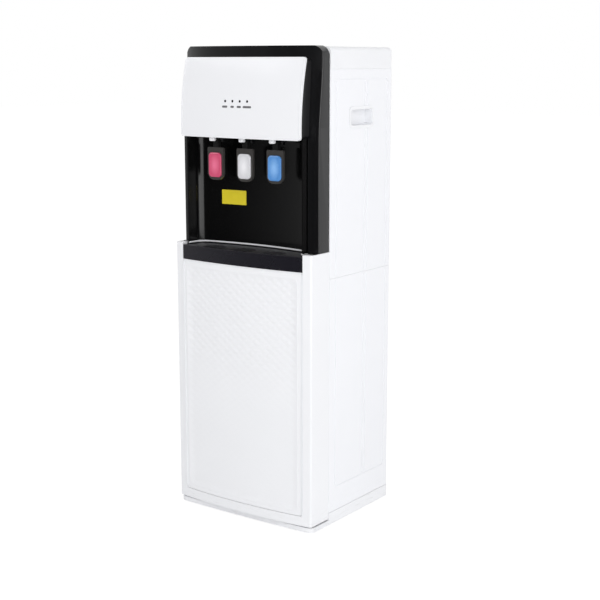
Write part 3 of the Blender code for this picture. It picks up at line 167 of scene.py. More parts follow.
# %% Group for moulded grain
WHITE = (1.0, 1.0, 1.0, 1.0)
GRAIN_SCALE = 1600.0
DRIFT_SCALE = 7.0
POLISH_SCALE = 26.0
group, given, made = new_group(
    "moulded_grain",
    [("Colour", "Color", WHITE), ("Drift", "Float", 0.03), ("Grain", "Float", GRAIN_SCALE),
     ("Roughness", "Float", 0.4), ("Polish", "Float", 0.1)],
    [("Colour", "Color"), ("Roughness", "Float"), ("Height", "Float")],
)
point = add(group, "ShaderNodeTexCoord").outputs["Object"]
cloud = noise(group, point, DRIFT_SCALE, 3.0)
less = math_node(group, "MULTIPLY", given.outputs["Drift"], math_node(group, "SUBTRACT", cloud, 0.5))
value = math_node(group, "ADD", less, 1.0)
shaded = add(group, "ShaderNodeHueSaturation", {"Color": given.outputs["Colour"], "Value": value})
patches = math_node(group, "SUBTRACT", noise(group, point, POLISH_SCALE, 4.0), 0.5)
change = math_node(group, "MULTIPLY", patches, given.outputs["Polish"])
rough = math_node(group, "ADD", given.outputs["Roughness"], change)
grain = noise(group, point, given.outputs["Grain"], 1.0)
for socket, result in (("Colour", shaded.outputs[0]), ("Roughness", rough), ("Height", grain)):
    group.links.new(result, made.inputs[socket])
GRAIN = group
print("group", GRAIN.name)

# %% [markdown]
# ## Settled dust and scuffs
# A machine that stands on a floor gathers dust on what faces up, and shoes and mops mark its foot.
# The mask of this group is strong in both places and broken up by noise.

# %% Group for dust and scuffs
DUST_SLOPE = (0.75, 0.98)
DUST_PATCHES = (0.35, 0.75)
SCUFF_STRETCH = (40.0, 40.0, 420.0)
SCUFF_LINES = (0.58, 0.72)
group, given, made = new_group(
    "floor_marks",
    [("Foot", "Float", 0.06), ("Scale", "Float", 30.0)],
    [("Dust", "Float"), ("Scuffs", "Float")],
)
point = add(group, "ShaderNodeTexCoord").outputs["Object"]
height = add(group, "ShaderNodeSeparateXYZ", {"Vector": point}).outputs["Z"]
normal = add(group, "ShaderNodeNewGeometry").outputs["Normal"]
facing = add(group, "ShaderNodeSeparateXYZ", {"Vector": normal})
speckle = noise(group, point, given.outputs["Scale"], 6.0)
upward = ramp(group, facing.outputs["Z"], *DUST_SLOPE)
dust = math_node(group, "MULTIPLY", upward, ramp(group, speckle, *DUST_PATCHES))
low_down = math_node(group, "SUBTRACT", 1.0, math_node(group, "DIVIDE", height, given.outputs["Foot"]))
lines = noise(group, stretched(group, point, SCUFF_STRETCH), 1.0, 3.0)
clamped = ramp(group, low_down, 0.0, 1.0)
scuffs = math_node(group, "MULTIPLY", clamped, ramp(group, lines, *SCUFF_LINES))
group.links.new(dust, made.inputs["Dust"])
group.links.new(scuffs, made.inputs["Scuffs"])
MARKS = group
print("group", MARKS.name)

# %% [markdown]
# ## Wiping marks
# Gloss plastic shows every cloth that passed over it: long, very fine lines that only catch the
# light, and the faint bloom of a finger. They change the roughness and nothing else.

# %% Group for wiping marks
UPRIGHT_WIPES, UPRIGHT_SHARE = (700.0, 700.0, 26.0), (0.66, 0.80)
LEVEL_WIPES, LEVEL_SHARE = (30.0, 30.0, 620.0), (0.68, 0.82)
BLOOM_SCALE, BLOOM_SHARE = 34.0, (0.52, 0.78)
group, given, made = new_group(
    "wiping_marks",
    [("Roughness", "Float", 0.12), ("Strength", "Float", 0.08)],
    [("Roughness", "Float"), ("Height", "Float")],
)
point = add(group, "ShaderNodeTexCoord").outputs["Object"]
hairlines = noise(group, stretched(group, point, UPRIGHT_WIPES), 1.0, 2.0)
crossing = noise(group, stretched(group, point, LEVEL_WIPES), 1.0, 2.0)
both = math_node(group, "MAXIMUM", ramp(group, hairlines, *UPRIGHT_SHARE),
                 ramp(group, crossing, *LEVEL_SHARE))
blooms = ramp(group, noise(group, point, BLOOM_SCALE, 5.0), *BLOOM_SHARE)
total = math_node(group, "ADD", both, blooms)
change = math_node(group, "MULTIPLY", total, given.outputs["Strength"])
rough = math_node(group, "ADD", given.outputs["Roughness"], change)
group.links.new(rough, made.inputs["Roughness"])
group.links.new(both, made.inputs["Height"])
WIPES = group
print("group", WIPES.name)

# %% [markdown]
# ## The finishes
# Each finish is one Principled shader, fed by the groups. What is the same all over, such as the
# coat or the specular level, stays typed on the shader itself.

# %% Start a finish
def finish(name, **constants):
    """A new material with its shader. Names in constants use _ for the spaces of the sockets."""
    material = bpy.data.materials.new(name)
    material.use_nodes = True
    shader = material.node_tree.nodes["Principled BSDF"]
    for label, value in constants.items():
        shader.inputs[label.replace("_", " ").title().replace("Ior", "IOR")].default_value = value
    return material, material.node_tree, shader


def use_group(tree, group, **inputs):
    """Places a shared group in a material with its own values."""
    node = tree.nodes.new("ShaderNodeGroup")
    node.node_tree = group
    for label, value in inputs.items():
        socket = node.inputs[label.title()]
        if isinstance(value, bpy.types.NodeSocket):
            tree.links.new(value, socket)
        else:
            socket.default_value = value
    return node


def raise_surface(tree, shader, height, depth, strength=1.0):
    """Feeds a height into the shader's normal. The depth is the real height of the relief, in metres."""
    bump = add(tree, "ShaderNodeBump", {"Height": height, "Distance": depth, "Strength": strength})
    tree.links.new(bump.outputs["Normal"], shader.inputs["Normal"])


# %% Moulded plastics
FINISHES = {}
DUST = (0.42, 0.40, 0.37, 1.0)
GRAIN_DEPTH = 0.00004
POLISH = 0.12


def moulded(name, colour, roughness, drift=0.03, grain=GRAIN_SCALE, dust=0.10, scuffs=0.25,
            depth=GRAIN_DEPTH, **constants):
    """Satin moulded plastic, with grain, a little dust on top and scuffs at its foot."""
    material, tree, shader = finish(name, **constants)
    base = (*colour, 1.0)
    skin = use_group(tree, GRAIN, colour=base, drift=drift, grain=grain, roughness=roughness, polish=POLISH)
    marks = use_group(tree, MARKS)
    mark = math_node(tree, "MULTIPLY", marks.outputs["Dust"], dust)
    mark = math_node(tree, "MAXIMUM", mark, math_node(tree, "MULTIPLY", marks.outputs["Scuffs"], scuffs))
    tree.links.new(blend_colour(tree, mark, skin.outputs["Colour"], DUST), shader.inputs["Base Color"])
    rough = math_node(tree, "ADD", skin.outputs["Roughness"], mark)
    tree.links.new(rough, shader.inputs["Roughness"])
    raise_surface(tree, shader, skin.outputs["Height"], depth)
    FINISHES[name] = material


moulded("white_shell", (0.868, 0.875, 0.900), 0.36)
moulded("white_side", (0.885, 0.893, 0.925), 0.38)
moulded("black_shell", (0.0042, 0.0044, 0.0054), 0.30, drift=0.2, dust=0.02, specular_ior_level=0.58)
moulded("dark_grille", (0.027, 0.026, 0.032), 0.36, drift=0.15, dust=0.03, specular_ior_level=0.95)
moulded("grey", (0.036, 0.033, 0.031), 0.38, drift=0.1, dust=0.02)
moulded("tray_black", (0.0100, 0.0092, 0.0145), 0.27, drift=0.15, dust=0.02, specular_ior_level=0.6)
moulded("rubber", (0.030, 0.030, 0.030), 0.78, drift=0.25, grain=900.0, dust=0.25, scuffs=0.5)
moulded("foam", (0.80, 0.78, 0.70), 0.85, drift=0.12, grain=420.0, depth=0.0004)
moulded("cap_blue", (0.045, 0.170, 0.520), 0.40)
print(len(FINISHES), "moulded finishes")

# %% [markdown]
# ## Levers in two tones
# The frame round each paddle is a worn dark grey, and its neck, which runs up into the tap, is as
# black as the tap. One moulding carries both, so the two tones are mixed by height.

# %% Lever plastic
LEVER_GREY = (0.046, 0.043, 0.041, 1.0)
NECK_BLACK = (0.0035, 0.0035, 0.0038, 1.0)
NECK_RUN = 0.0015
NECK_MATT = 0.30
material, tree, shader = finish("lever_grey")
LEVER_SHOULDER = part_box("insert_hot")[1].z + 0.0105
point = add(tree, "ShaderNodeTexCoord").outputs["Object"]
height = add(tree, "ShaderNodeSeparateXYZ", {"Vector": point}).outputs["Z"]
upper = ramp(tree, height, LEVER_SHOULDER, LEVER_SHOULDER + NECK_RUN)
tone = blend_colour(tree, upper, LEVER_GREY, NECK_BLACK)
skin = use_group(tree, GRAIN, colour=tone, drift=0.1, grain=GRAIN_SCALE, roughness=0.36, polish=POLISH)
tree.links.new(skin.outputs["Colour"], shader.inputs["Base Color"])
rough = math_node(tree, "ADD", skin.outputs["Roughness"], math_node(tree, "MULTIPLY", upper, NECK_MATT))
tree.links.new(rough, shader.inputs["Roughness"])
raise_surface(tree, shader, skin.outputs["Height"], GRAIN_DEPTH)
FINISHES["lever_grey"] = material
print("levers turn black above", round(LEVER_SHOULDER, 4))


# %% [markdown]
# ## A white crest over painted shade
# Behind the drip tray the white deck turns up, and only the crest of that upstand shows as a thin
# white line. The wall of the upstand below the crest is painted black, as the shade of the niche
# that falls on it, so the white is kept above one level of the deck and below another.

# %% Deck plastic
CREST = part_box("tray_deck")[1].z
PAINTED_SHADE_LEVELS = (CREST - 0.0330, CREST - 0.0016)
PAINTED_SHADE_EDGE = 0.0003
DECK_WHITE = (0.868, 0.875, 0.900, 1.0)
# Black painted on the upstand's wall below the crest, standing for the shade of the niche
PAINTED_SHADE_BLACK = (0.006, 0.006, 0.007, 1.0)
material, tree, shader = finish("deck_with_painted_shade")
point = add(tree, "ShaderNodeTexCoord").outputs["Object"]
height = add(tree, "ShaderNodeSeparateXYZ", {"Vector": point}).outputs["Z"]
above = ramp(tree, height, PAINTED_SHADE_LEVELS[0], PAINTED_SHADE_LEVELS[0] + PAINTED_SHADE_EDGE)
below = ramp(tree, height, PAINTED_SHADE_LEVELS[1], PAINTED_SHADE_LEVELS[1] - PAINTED_SHADE_EDGE)
# Painted shade: the band between the two levels is painted black
painted_shade = math_node(tree, "MULTIPLY", above, below)
tone = blend_colour(tree, painted_shade, DECK_WHITE, PAINTED_SHADE_BLACK)
skin = use_group(tree, GRAIN, colour=tone, drift=0.03, grain=GRAIN_SCALE, roughness=0.36, polish=POLISH)
tree.links.new(skin.outputs["Colour"], shader.inputs["Base Color"])
tree.links.new(skin.outputs["Roughness"], shader.inputs["Roughness"])
raise_surface(tree, shader, skin.outputs["Height"], GRAIN_DEPTH)
FINISHES["deck_with_painted_shade"] = material
print("the crest is white above", round(PAINTED_SHADE_LEVELS[1], 4))


# %% [markdown]
# ## Gloss plastics
# The front of the dispenser, its lamps and its switches are polished. The same grain gives their
# tone, and the wiping marks work on their gloss.

# %% Gloss
WIPE_DEPTH = 0.000004


def gloss(name, colour, roughness, drift=0.02, strength=0.10, **constants):
    """Polished plastic with wiping marks in its gloss."""
    material, tree, shader = finish(name, **constants)
    skin = use_group(tree, GRAIN, colour=(*colour, 1.0), drift=drift, roughness=roughness, polish=0.05)
    wipes = use_group(tree, WIPES, roughness=skin.outputs["Roughness"], strength=strength)
    tree.links.new(skin.outputs["Colour"], shader.inputs["Base Color"])
    tree.links.new(wipes.outputs["Roughness"], shader.inputs["Roughness"])
    raise_surface(tree, shader, wipes.outputs["Height"], WIPE_DEPTH)
    FINISHES[name] = material


gloss("gloss_white", (0.862, 0.868, 0.895), 0.14)
gloss("gloss_black", (0.0030, 0.0030, 0.0032), 0.12, drift=0.1, specular_ior_level=0.36)
gloss("rocker_red", (0.42, 0.022, 0.020), 0.22)
gloss("rocker_blue", (0.020, 0.095, 0.380), 0.22)
gloss("lamp_dark", (0.012, 0.012, 0.014), 0.10, coat_weight=1.0)
print(len(FINISHES), "finishes so far")


# %% [markdown]
# ## Metals and sheets
# Drawn and rolled metal keeps fine lines along one direction, so its noise is stretched along it.
# The same lines change its tone, its roughness and its height.

# %% Brushed metal
def brushed(name, colour, roughness, along, grain_depth=0.00001):
    """Metal with fine lines along one direction."""
    material, tree, shader = finish(name, metallic=1.0)
    point = add(tree, "ShaderNodeTexCoord").outputs["Object"]
    lines = noise(tree, stretched(tree, point, along), 1.0, 3.0)
    tone = ramp(tree, lines, 0.3, 0.7, 0.82, 1.0)
    shaded = add(tree, "ShaderNodeHueSaturation", {"Color": (*colour, 1.0), "Value": tone})
    tree.links.new(shaded.outputs[0], shader.inputs["Base Color"])
    rough = ramp(tree, lines, 0.2, 0.8, roughness - 0.08, roughness + 0.10)
    tree.links.new(rough, shader.inputs["Roughness"])
    raise_surface(tree, shader, lines, grain_depth)
    FINISHES[name] = material


brushed("steel", (0.62, 0.62, 0.63), 0.28, (900.0, 900.0, 30.0))
brushed("aluminium", (0.72, 0.72, 0.73), 0.36, (30.0, 900.0, 900.0))
brushed("zinc_screw", (0.70, 0.70, 0.68), 0.32, (400.0, 400.0, 400.0))
moulded("back_sheet", (0.76, 0.765, 0.775), 0.52, drift=0.04, grain=1100.0, dust=0.2, scuffs=0.35)
print(len(FINISHES), "finishes so far")


# %% [markdown]
# ## The coloured paddles
# Each lever carries a paddle of tinted, slightly milky plastic. Light that enters it comes back out
# paler in the thick middle, and that glow is painted into the colour: it is mixed from the tint at
# the edge to a paler painted glow in the middle by the distance from the paddle's own centre line,
# and a clear coat gives the wet gloss.

# %% Tinted paddles
# For each paddle: its tint at the edge, the paler painted glow for its middle, and its tap
PADDLE_TINTS_AND_GLOW = {
    "insert_red": ((0.62, 0.075, 0.165), (0.80, 0.165, 0.290), "hot"),
    "insert_white": ((0.66, 0.66, 0.69), (0.86, 0.86, 0.89), "room"),
    "insert_blue": ((0.085, 0.270, 0.640), (0.240, 0.480, 0.860), "cold"),
}
MILK_SCALE = 160.0
PAINTED_GLOW_UNEVEN = 0.25
PAINTED_GLOW_RANGE = (1.05, 0.30)
for name, (edge_tint, painted_glow_tint, tap) in PADDLE_TINTS_AND_GLOW.items():
    material, tree, shader = finish(name, coat_weight=0.6, coat_roughness=0.08)
    low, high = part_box("insert_" + tap)
    middle, half = (low + high) / 2, (high - low) / 2
    point = add(tree, "ShaderNodeTexCoord").outputs["Object"]
    centred = add(tree, "ShaderNodeVectorMath", {0: point, 1: middle}, operation="SUBTRACT").outputs[0]
    scaled = stretched(tree, centred, (1 / half.x, 0.0, 1 / half.z))
    away = add(tree, "ShaderNodeVectorMath", {0: scaled}, operation="LENGTH").outputs["Value"]
    # Painted glow: the colour turns paler towards the middle, by distance from the centre line
    cloud = noise(tree, point, MILK_SCALE, 3.0)
    uneven = math_node(tree, "ADD", away, math_node(tree, "MULTIPLY", cloud, PAINTED_GLOW_UNEVEN))
    share = ramp(tree, uneven, *PAINTED_GLOW_RANGE)
    tint = blend_colour(tree, share, (*edge_tint, 1.0), (*painted_glow_tint, 1.0))
    tree.links.new(tint, shader.inputs["Base Color"])
    wipes = use_group(tree, WIPES, roughness=0.20, strength=0.10)
    tree.links.new(wipes.outputs["Roughness"], shader.inputs["Roughness"])
    raise_surface(tree, shader, cloud, GRAIN_DEPTH)
    FINISHES[name] = material
print("paddle tints", list(PADDLE_TINTS_AND_GLOW))

# %% [markdown]
# ## The hose
# The suction hose is milky silicone. It stays mostly opaque, with a soft sheen and a faint ripple
# from the extruder.

# %% Silicone hose
RIPPLE_STRETCH = (20.0, 20.0, 520.0)
RIPPLE_DEPTH = 0.00006
MILKY = ((0.70, 0.71, 0.70, 1.0), (0.86, 0.87, 0.86, 1.0))
material, tree, shader = finish("clear_hose", transmission_weight=0.25, coat_weight=0.3)
point = add(tree, "ShaderNodeTexCoord").outputs["Object"]
ripple = noise(tree, stretched(tree, point, RIPPLE_STRETCH), 1.0, 2.0)
shade = blend_colour(tree, ripple, *MILKY)
tree.links.new(shade, shader.inputs["Base Color"])
tree.links.new(ramp(tree, ripple, 0.2, 0.8, 0.22, 0.36), shader.inputs["Roughness"])
raise_surface(tree, shader, ripple, RIPPLE_DEPTH)
FINISHES["clear_hose"] = material
print("hose ready")

# %% [markdown]
# ## Helpers for modelling by hand
# The operators act on what is selected, so each helper first clears the selection. A CAD node is
# never changed: a copy of it is welded, its flat faces are joined again, its edges are rounded by
# a fraction of a millimetre, and the copy takes the node's place.

# %% Select and edit
WELD = 0.00002
FLAT_ANGLE = 0.2
SHARP_ANGLE = 32
SQUARE_ON = 0.9


def alone(item):
    """Selects one object and makes it active."""
    bpy.ops.object.select_all(action="DESELECT")
    item.select_set(True)
    bpy.context.view_layer.objects.active = item
    return item


def pick(item, test, kind="FACE"):
    """Selects the faces or edges that pass a test, in edit mode."""
    bpy.ops.mesh.select_mode(type=kind)
    bpy.ops.mesh.select_all(action="DESELECT")
    shape = bmesh.from_edit_mesh(item.data)
    parts = shape.faces if kind == "FACE" else shape.edges
    chosen = [part for part in parts if test(part)]
    for part in chosen:
        part.select_set(True)
    bmesh.update_edit_mesh(item.data)
    return len(chosen)


def apply_modifiers(item):
    """Applies all modifiers in their order."""
    alone(item)
    for name in [modifier.name for modifier in item.modifiers]:
        bpy.ops.object.modifier_apply(modifier=name)


def soften(item, edge, angle, segments=2, weighting="FACE_AREA"):
    """Rounds the sharp edges, and shades the rest smooth."""
    alone(item)
    if edge:
        bevel = item.modifiers.new("edges", "BEVEL")
        bevel.width = edge
        bevel.segments = segments
        bevel.limit_method = "ANGLE"
        bevel.angle_limit = math.radians(SHARP_ANGLE)
        bpy.ops.object.modifier_apply(modifier=bevel.name)
    bpy.ops.object.shade_smooth_by_angle(angle=math.radians(angle))
    normals = item.modifiers.new("normals", "WEIGHTED_NORMAL")
    normals.keep_sharp = True
    normals.mode = weighting
    bpy.ops.object.modifier_apply(modifier=normals.name)


def welded_copy(node, name, join_faces=True):
    """A copy of a CAD node with its points joined, and its flat triangles joined to whole faces."""
    item = bpy.data.objects.new(name, NODES[node].data.copy())
    bpy.context.scene.collection.objects.link(item)
    alone(item)
    bpy.ops.mesh.customdata_custom_splitnormals_clear()
    bpy.ops.object.mode_set(mode="EDIT")
    bpy.ops.mesh.select_all(action="SELECT")
    bpy.ops.mesh.remove_doubles(threshold=WELD)
    if join_faces:
        bpy.ops.mesh.dissolve_limited(angle_limit=math.radians(FLAT_ANGLE))
    bpy.ops.object.mode_set(mode="OBJECT")
    return item


def put_on(item, body, finish_name, *stood_for):
    """Gives a finished piece its material and its body, and hides the nodes that it stands for."""
    item.data.materials.clear()
    item.data.materials.append(FINISHES[finish_name])
    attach(item, body)
    if stood_for:
        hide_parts(*stood_for)
    return item


# %% [markdown]
# ## Softened shells
# No moulding has a truly sharp edge, and a thin bright line along each edge is what makes a shape
# look real. The table gives the radius for each shell; a nought leaves an edge that the CAD has
# rounded already. Three shells get more than that: the body behind the visor is rounded along its
# sides, the surround's ramp becomes a soft curve, and the crest behind the tray comes up a little.

# %% Edges of the shells
TOUCH = 0.0004
SMOOTH_ANGLE = 50
EDGE_OF = {
    "base_pan": 0.0, "front_frame": 0.0009, "door_rim": 0.0, "door_liner": 0.0005,
    "tray_deck": 0.0006, "bottle_shelf": 0.0, "grip_cup_left": 0.0005, "grip_cup_right": 0.0005,
    "probe_holder": 0.0005, "side_lower_left": 0.0003, "side_lower_right": 0.0003,
    "side_upper_left": 0.0003, "side_upper_right": 0.0003, "visor": 0.0009, "surround": 0.0,
    "visor_box": 0.0005, "niche_wall": 0.0, "drip_tray": 0.0016, "drip_grille": 0.0004,
    "tap_body_hot": 0.0004, "tap_body_room": 0.0004, "tap_body_cold": 0.0004,
    "lever_hot": 0.0, "lever_room": 0.0, "lever_cold": 0.0,
    "tap_outlet_hot": 0.0003, "tap_outlet_room": 0.0003, "tap_outlet_cold": 0.0003,
    "switch_plate": 0.0, "cooling_grille": 0.0, "cord_gland": 0.0, "probe_cap": 0.0,
    "rocker_hot": 0.0, "rocker_cold": 0.0, "drain_cap_hot": 0.0, "drain_cap_cold": 0.0,
}
OTHER_FINISH = {"lever_hot": "lever_grey", "lever_room": "lever_grey", "lever_cold": "lever_grey",
                "drip_tray": "tray_black", "tray_deck": "deck_with_painted_shade"}

# %% Three special shells
BODY_CORNER = 0.0075


def round_visor_body(shell):
    """Rounds the two long corners on each side of the black shell behind the visor."""
    low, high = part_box("visor_box")
    bpy.ops.object.mode_set(mode="EDIT")
    pick(shell, lambda line: all(abs(abs(end.co.x) - high.x) < TOUCH for end in line.verts)
         and any(all(abs(end.co.z - level) < 1.5 * TOUCH for end in line.verts)
                 for level in (low.z, high.z)), "EDGE")
    bpy.ops.mesh.bevel(offset=BODY_CORNER, segments=6)
    bpy.ops.object.mode_set(mode="OBJECT")


SWEEP = 0.0145
SWEEP_HALF = 0.184
SWEEP_LEVELS = (0.8736, 0.9930)
SWEEP_EASE = 0.032
SWEEP_CUTS = 18
SLIVER = 0.0002


def sweep_surround(shell):
    """Turns the straight ramp, by which the surround's sides step back, into a soft S."""
    start, end = SWEEP_LEVELS
    first, last = start - SWEEP_EASE, end + SWEEP_EASE
    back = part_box("surround")[1].y
    bpy.ops.object.mode_set(mode="EDIT")
    bpy.ops.mesh.select_all(action="SELECT")
    bpy.ops.mesh.dissolve_degenerate(threshold=SLIVER)
    for number in range(SWEEP_CUTS + 1):
        level = first + (last - first) * number / SWEEP_CUTS
        bpy.ops.mesh.select_all(action="SELECT")
        bpy.ops.mesh.bisect(plane_co=(0, 0, level), plane_no=(0, 0, 1))
    bpy.ops.object.mode_set(mode="OBJECT")
    for point in shell.data.vertices:
        if point.co.y < back - TOUCH:
            straight = min(1.0, max(0.0, (point.co.z - start) / (end - start)))
            share = min(1.0, max(0.0, (point.co.z - first) / (last - first)))
            curved = share * share * (3 - 2 * share)
            point.co.y += SWEEP * (curved - straight) * min(1.0, abs(point.co.x) / SWEEP_HALF) ** 4


CREST_RISE = 0.0014


def raise_crest(shell):
    """Lifts the crest of the upstand behind the tray a little in front of the niche wall."""
    for point in shell.data.vertices:
        if point.co.z > CREST - TOUCH / 4:
            point.co.z += CREST_RISE


# %% Put the shells on
for node, edge in EDGE_OF.items():
    shell = welded_copy(node, node + "_shell", node != "surround")
    if node == "visor_box":
        round_visor_body(shell)
    if node == "surround":
        sweep_surround(shell)
    if node == "tray_deck":
        raise_crest(shell)
    soften(shell, edge, SMOOTH_ANGLE, 2, "CORNER_ANGLE" if node == "surround" else "FACE_AREA")
    put_on(shell, BODY_OF[node], OTHER_FINISH.get(node, SLOT_OF[node]), node)
print(len(EDGE_OF), "shells softened")

# %% Finishes on the solids that stay
for node, item in NODES.items():
    item.data.materials.clear()
    item.data.materials.append(FINISHES[SLOT_OF[node]])
print("all CAD nodes have a finish")


# %% [markdown]
# ## The cover on top
# The cover is a shallow cap whose upper edge is rounded like a pillow case. A box is rounded at
# its two rear corners and then all round its top but for the front, where the surround stands.

# %% Cap
COVER_REAR = 0.008
COVER_ROUND = 0.009
COVER_WALL = 0.003
COVER_DROP = 0.0002
low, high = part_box("top_cover")
low = low - Vector((0, 0, COVER_DROP))
bpy.ops.object.select_all(action="DESELECT")
bpy.ops.mesh.primitive_cube_add(size=1, location=(low + high) / 2, scale=high - low)
cap = bpy.context.object
cap.name = "cover_cap"
bpy.ops.object.transform_apply(location=True, rotation=True, scale=True)
bpy.ops.object.mode_set(mode="EDIT")
pick(cap, lambda line: all(end.co.y > high.y - TOUCH for end in line.verts)
     and abs(line.verts[0].co.z - line.verts[1].co.z) > COVER_ROUND, "EDGE")
bpy.ops.mesh.bevel(offset=COVER_REAR, segments=6)
pick(cap, lambda line: all(end.co.z > high.z - TOUCH for end in line.verts)
     and any(end.co.y > low.y + TOUCH for end in line.verts), "EDGE")
bpy.ops.mesh.bevel(offset=COVER_ROUND, segments=6)
pick(cap, lambda face: face.normal.z < -SQUARE_ON)
bpy.ops.mesh.delete(type="FACE")
bpy.ops.object.mode_set(mode="OBJECT")
wall = cap.modifiers.new("wall", "SOLIDIFY")
wall.thickness = COVER_WALL
wall.offset = -1
apply_modifiers(cap)
soften(cap, 0.0, SMOOTH_ANGLE)
put_on(cap, "cabinet", "white_shell", "top_cover")
print("cover cap of", len(cap.data.polygons), "faces")

# %% [markdown]
# ## The collar behind the visor
# The white visor is the face of a black body, which stands in front of the surround. Its walls
# are round at the corners, and there they catch the light. A box gives the outline: its corners
# are rounded, its front, its back and most of its bottom are taken off, and its two open edges are
# then laid against the visor and the surround.

# %% Collar
COLLAR_HALF = 0.1600
COLLAR_LEVELS = (0.8490, 1.0146)
COLLAR_CORNER = 0.009
COLLAR_WALL = 0.0020
COLLAR_RETURN = 0.150
COLLAR_CUTS = 12
COLLAR_STATIONS = (-COLLAR_RETURN, -0.08, 0.0, 0.08, COLLAR_RETURN)
BLANK_DEPTH = 0.02
foot, top = COLLAR_LEVELS
bpy.ops.object.select_all(action="DESELECT")
bpy.ops.mesh.primitive_cube_add(size=1, location=(0, 0, (foot + top) / 2),
                                scale=(2 * COLLAR_HALF, BLANK_DEPTH, top - foot))
collar = bpy.context.object
collar.name = "visor_collar"
bpy.ops.object.transform_apply(location=True, rotation=True, scale=True)
bpy.ops.object.mode_set(mode="EDIT")
pick(collar, lambda line: abs(line.verts[0].co.y - line.verts[1].co.y) > BLANK_DEPTH / 2, "EDGE")
bpy.ops.mesh.bevel(offset=COLLAR_CORNER, segments=6)
pick(collar, lambda face: abs(face.normal.y) > SQUARE_ON)
bpy.ops.mesh.delete(type="FACE")
for x in COLLAR_STATIONS:
    bpy.ops.mesh.select_all(action="SELECT")
    bpy.ops.mesh.bisect(plane_co=(x, 0, 0), plane_no=(1, 0, 0))
for number in range(1, COLLAR_CUTS):
    bpy.ops.mesh.select_all(action="SELECT")
    bpy.ops.mesh.bisect(plane_co=(0, 0, foot + (top - foot) * number / COLLAR_CUTS), plane_no=(0, 0, 1))
pick(collar, lambda face: face.normal.z < -SQUARE_ON
     and abs(face.calc_center_median().x) < COLLAR_RETURN)
bpy.ops.mesh.delete(type="FACE")
bpy.ops.object.mode_set(mode="OBJECT")
wall = collar.modifiers.new("wall", "SOLIDIFY")
wall.thickness = COLLAR_WALL
wall.offset = -1
apply_modifiers(collar)

# %% Depth of a face
IN_FRONT = CAD_BOX[0].y - 0.1


def faces_of(item):
    """A tree of an object's faces, which rays can be sent at."""
    corners = [point.co for point in item.data.vertices]
    return BVHTree.FromPolygons(corners, [face.vertices for face in item.data.polygons])


def depth_at(faces, x, z):
    """How far back a ray from the front meets the faces."""
    return faces.ray_cast(Vector((x, IN_FRONT, z)), Vector((0, 1, 0)))[0].y


VISOR_FACE = faces_of(bpy.data.objects["visor_shell"])
SURROUND_FACE = faces_of(bpy.data.objects["surround_shell"])
print("the visor's middle is at", round(depth_at(VISOR_FACE, 0.0, (foot + top) / 2), 4))

# %% Collar between visor and surround
VISOR_BACK = 0.0045
SUNK = 0.0012
CLEAR = 0.002
for point in collar.data.vertices:
    x, z = point.co.x, point.co.z
    on_top = z > top - COLLAR_CORNER and abs(x) < COLLAR_HALF - COLLAR_CORNER
    if point.co.y < 0:
        point.co.y = depth_at(VISOR_FACE, x, z) + VISOR_BACK
    elif on_top:
        point.co.y = depth_at(SURROUND_FACE, x, top + CLEAR) + SUNK
    else:
        point.co.y = depth_at(SURROUND_FACE, math.copysign(COLLAR_HALF + CLEAR, x), z) + SUNK
soften(collar, 0.0, SMOOTH_ANGLE)
put_on(collar, "cabinet", "black_shell")
print("collar from", round(min(v.co.y for v in collar.data.vertices), 4), "back to",
      round(max(v.co.y for v in collar.data.vertices), 4))

# %% [markdown]
# ## The quilted door panel
# The lower door is pressed with rows of cushions that die away towards the foot. The CAD panel has
# a flat-sided lozenge for each. Its front sheet alone is kept, the valleys between the cushions
# are held by creases, and a subdivision rounds each one like a pillow. A wall then closes the sheet.

# %% Quilted panel
QUILT_CREASE = 0.70
PANEL_WALL = 0.0030
PANEL_REACH = 0.00028
BORDER_STEP = 0.0001
CUSHION_STEP = 0.0005
CUSHION_SCALE = 1.7
CUSHION_FADE = (0.30, 0.43)
CUSHION_LEAST = 0.40
low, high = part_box("door_panel")
rim_low, rim_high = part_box("door_rim")
quilt = welded_copy("door_panel", "door_panel_quilt")
bpy.ops.object.mode_set(mode="EDIT")
pick(quilt, lambda face: face.normal.y > -0.5)
bpy.ops.mesh.delete(type="FACE")
bpy.ops.mesh.select_all(action="SELECT")
spread = Vector((1 + 2 * PANEL_REACH / (high.x - low.x), 1, 1 + 2 * PANEL_REACH / (high.z - low.z)))
bpy.ops.transform.resize(value=spread, center_override=(low + high) / 2)
bpy.ops.object.mode_set(mode="OBJECT")

# %% Depth of the cushions
shape = bmesh.new()
shape.from_mesh(quilt.data)
border = {point for line in shape.edges if len(line.link_faces) == 1 for point in line.verts}
foot = [point for point in border if abs(point.co.z - low.z) < 2 * TOUCH]
SEAT = {round(point.co.x, 4): point.co.y for point in foot}


def seat_at(x):
    """How far back the bowed seat of the panel is, at the nearest of its stations."""
    return SEAT[min(SEAT, key=lambda station: abs(station - x))]


lowest = min(SEAT.values()) - rim_low.y
tallest = max(seat_at(point.co.x) - point.co.y for point in shape.verts)
crease = shape.edges.layers.float.new("crease_edge")
valleys = [line for line in shape.edges if len(line.link_faces) == 2 and not line.is_convex]
for line in valleys:
    line[crease] = QUILT_CREASE
for point in shape.verts:
    flush = seat_at(point.co.x) - lowest
    raised = tallest - (flush + lowest - point.co.y)
    rise = min(1.0, max(0.0, (point.co.z - CUSHION_FADE[0]) / (CUSHION_FADE[1] - CUSHION_FADE[0])))
    raised *= CUSHION_SCALE * (CUSHION_LEAST + (1 - CUSHION_LEAST) * rise)
    point.co.y = flush + (BORDER_STEP if point in border else CUSHION_STEP + raised)
shape.to_mesh(quilt.data)
shape.free()
print(len(valleys), "valleys, cushions", round(tallest * CUSHION_SCALE * 1000, 2), "mm high")

